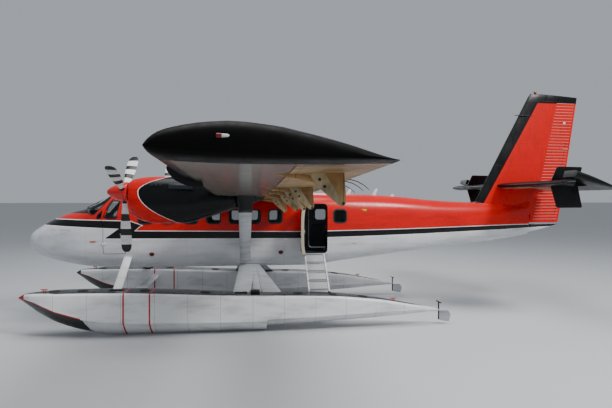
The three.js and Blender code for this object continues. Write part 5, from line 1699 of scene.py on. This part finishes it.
x = cockpit["columnX"]
parts = [roundEdges(boxPiece("boot", (1702, -43, 1602), (1778, 43, 1650), rubber), 0.012),
         tube("column", [at(1740, 0, 1615), at(1765, 0, 1900), at(x, 0, 2180)], 25, aluminium, 24),
         tube("crossBar", [at(x, -548, 2180), at(x, 548, 2180)], 18, aluminium, 20)]
for y in (-400, 400):
    parts.append(tube("yoke", [at(x, y + dy, z) for dy, z in cockpit["yoke"]], 15, plastic, 18))
    for dy in (-cockpit["handY"], cockpit["handY"]):
        parts.append(tube("grip", [at(x, y + dy, z) for z in (2235, 2255, 2300, 2322)], 18, rubber, 18,
                          radii=[15, 19, 19, 14]))
    parts.append(turned("hub", at(1774, y, 2178), (1, 0, 0),
                        [(0, 30), (34, 30), (38, 22), (38, 1)], darkMetal, 24))
settleAll("controlColumnDressed", parts, ["control_column"])

# Bulkheads: painted sheet across the cabin, the front one with a doorway
for name, start, end in (("cockpit", 2600, 2630), ("rear", 8320, 8350)):
    wall = loftPiece(name + "Bulkhead", [ovalRing(formAt(fuselageForm, x), 0, 70.5) for x in (start, end)],
                     bulkheadPaint)
    cutPiece(wall, [aboveFloor(1600.5, bulkheadPaint)], "INTERSECT")
    if name == "cockpit":
        doorway = [(start - 50, -260), (end + 50, -260), (end + 50, 260), (start - 50, 260)]
        cutPiece(wall, [planPlate("doorway", doorway, 1500, 2840, bulkheadPaint)])
    settle(roundEdges(wall, 0.003), [name + "_bulkhead"])

# Engines: gearbox, case and flanges in line
engineProfile = [  # station and radius
    (3040, 1), (3041, 52), (3230, 54), (3231, 110), (3260, 150), (3330, 168), (3400, 172), (3404, 208),
    (3424, 208), (3428, 176), (3600, 190), (3604, 214), (3626, 214), (3630, 192), (3900, 196), (3904, 214),
    (3930, 214), (3934, 186), (4200, 180), (4204, 204), (4226, 204), (4230, 176), (4420, 165), (4500, 140),
    (4549, 110), (4550, 1)]
oilLines = {"count": 8, "out": 199, "stations": (3640, 3760, 3890)}
for name, side in sides.items():
    y, z = side * engineLine["y"], engineLine["z"]
    parts = [turned("case", at(0, y, z), (1, 0, 0), engineProfile, engineMetal, 48)]
    for k in range(oilLines["count"]):
        angle = math.pi / 4 * k + 0.3
        across, up = math.cos(angle) * oilLines["out"], math.sin(angle) * oilLines["out"]
        parts.append(tube("line", [at(x, y + across, z + up) for x in oilLines["stations"]], 8, steel, 10))
    settleAll("engineDressed" + name.capitalize(), parts, ["engine_" + name])
print("interior built")

# Small details on the skin
skinFit = {
    "amber": {"stations": (1650, 1700, 1750, 1800, 1850), "height": 2000, "radii": [2, 16, 20, 16, 2]},
    "vent": {"stations": (8215, 8250, 8300, 8350, 8385), "height": 1905, "radii": [3, 16, 21, 16, 3]},
    "drains": [(3160, 1690), (6370, 1700)],
    "drainRing": [(0, 62), (6, 62), (9, 56), (9, 44), (6, 42), (4, 1)],
    "drainCap": [(0, 40), (8, 40), (14, 32), (16, 1)],
    "mark": {"outline": (8490, 8640, 2735, 2785, 12), "proud": 3},
    "pitotHeight": 2290,
    "pitot": [(1180, -5), (1180, 40), (1120, 70), (960, 78)],  # station and way out of the skin
    "aerials": [(8300, 150, 60), (9020, 190, 90), (9550, 70, 20)],  # station, height and lean aft
    "wickRadii": [9, 7, 6, 5, 4], "wicks": [6900, 7400, 7700],  # out from the centre plane
    "wickPath": [(-20, -4), (60, 6), (150, -18), (230, -62), (295, -118)],  # aft of the wing and over it
}


def onSide(x, z, side, proud=0):
    return at(x, side * (skinHalf(x, z) + proud), z)


def sideDetails(side):
    # amber lens, drains with red caps, vent, lime mark and pitot tube of one side
    amberFit, vent, height = skinFit["amber"], skinFit["vent"], skinFit["pitotHeight"]
    lens = [onSide(x, amberFit["height"], side, -4) for x in amberFit["stations"]]
    parts = [tube("amberOval", lens, 20, amber, 16, radii=amberFit["radii"])]
    for x, z in skinFit["drains"]:
        parts.append(turned("drainRing", onSide(x, z, side, -4), (0, side, 0),
                            skinFit["drainRing"], rubber, 28))
        parts.append(turned("drainCap", onSide(x, z, side, -2), (0, side, 0),
                            skinFit["drainCap"], redLens, 24))
    slot = [onSide(x, vent["height"], side, -3) for x in vent["stations"]]
    parts.append(tube("ventOval", slot, 22, edgePaint, 16, radii=vent["radii"]))
    half, proud = skinHalf(8565, 2760), skinFit["mark"]["proud"]
    outline = roundedOutline(*skinFit["mark"]["outline"])
    parts.append(roundEdges(sidePlate("mark", outline, side * (half - proud),
                                      side * (half + proud), lime), 0.001))
    pitot = [onSide(x, height, side, out) for x, out in skinFit["pitot"]]
    return parts + [tube("pitot", pitot, 9, aluminium, 12)]


parts = sideDetails(-1) + sideDetails(1)
for x, height, lean in skinFit["aerials"]:
    z = skinTop(x, 0) - 8
    outline = [(x - 70, z), (x - 30 + lean, z + height), (x + 20 + lean, z + height), (x + 50, z)]
    parts.append(roundEdges(sidePlate("aerial", softened(outline, 14, 3), -7, 7, whitePaint), 0.003))
settleAll("skinDetails", parts, smoothBelow=40)
trailingEdge = wingForm["leadingEdge"] + wingForm["chord"]
for name, side in sides.items():
    parts = []
    for y in skinFit["wicks"]:
        path = [at(trailingEdge + aft, side * y, chordLine(y, 1) + over) for aft, over in skinFit["wickPath"]]
        parts.append(tube("wick", path, 6, blackPaint, 10, radii=skinFit["wickRadii"]))
    settleAll("aileronWicks" + name.capitalize(), parts, body=f"aileron_{name}_body")

# Beacon and probe on the fin, lamps in the wing tips
lampFit = {
    "beacon": [(0, 48), (14, 48), (18, 40), (62, 36), (86, 24), (94, 2)], "tipHeight": 3532,
    "probe": [(13130, 50), (13250, 62), (13500, 66), (13690, 60)],  # station, out to port
    "probeRadii": [6, 14, 14, 8],
    "red": [(5235, 9872, 12), (5250, 9884, 22), (5285, 9888, 20)],  # station, out, radius
    "clear": [(5285, 9888, 18), (5330, 9888, 14), (5365, 9874, 4)],
}
probe = [at(x, -out, 5448) for x, out in lampFit["probe"]]
parts = [turned("beacon", at(13790, 0, finTop - 14), (0, 0, 1), lampFit["beacon"], redLens, 28),
         tube("finProbe", probe, 14, darkMetal, 14, radii=lampFit["probeRadii"])]
for side in (-1, 1):
    for key, lens in (("red", redLens), ("clear", clearLens)):
        path = [at(x, side * out, lampFit["tipHeight"]) for x, out, _ in lampFit[key]]
        parts.append(tube("tipLamp", path, 20, lens, 18, radii=[radius for *_, radius in lampFit[key]]))
settleAll("lamps", parts)
print("details built")

# Stage: pale floor at the keels and soft light
floorMaterial, _, floorShader = newSurface("paleStudioFloor")
floorShader.inputs["Base Color"].default_value = toLinear("#bdbfc1")
floorShader.inputs["Roughness"].default_value = 0.85
floor = newPiece("studioFloor",
                 [Vector((x, y, 0)) for x, y in ((-400, -400), (400, -400), (400, 400), (-400, 400))],
                 [(0, 1, 2, 3)], floorMaterial)
world = bpy.data.worlds.new("softSky")
bpy.context.scene.world = world
world.use_nodes = True
world.node_tree.nodes["Background"].inputs["Color"].default_value = toLinear("#c6ccd4")
world.node_tree.nodes["Background"].inputs["Strength"].default_value = 0.68
lamps = {  # soft boxes: place and aim in metres, size in metres, power in watts
    "overhead": {"place": (-2, -4, 18), "aim": (-1, 0, 2), "size": 12, "power": 2200},
    "sunSide": {"place": (11, -13, 17), "aim": (0, 0, 2), "size": 5, "power": 3600},
    "far": {"place": (0, 18, 12), "aim": (0, 0, 2), "size": 10, "power": 900},
}
for name, lamp in lamps.items():
    data = bpy.data.lights.new(name, "AREA")
    data.energy, data.size = lamp["power"], lamp["size"]
    light = bpy.data.objects.new(name, data)
    light.location = lamp["place"]
    light.rotation_euler = (Vector(lamp["aim"]) - Vector(lamp["place"])).to_track_quat("-Z", "Y").to_euler()
    bpy.context.scene.collection.objects.link(light)
print("stage lit")
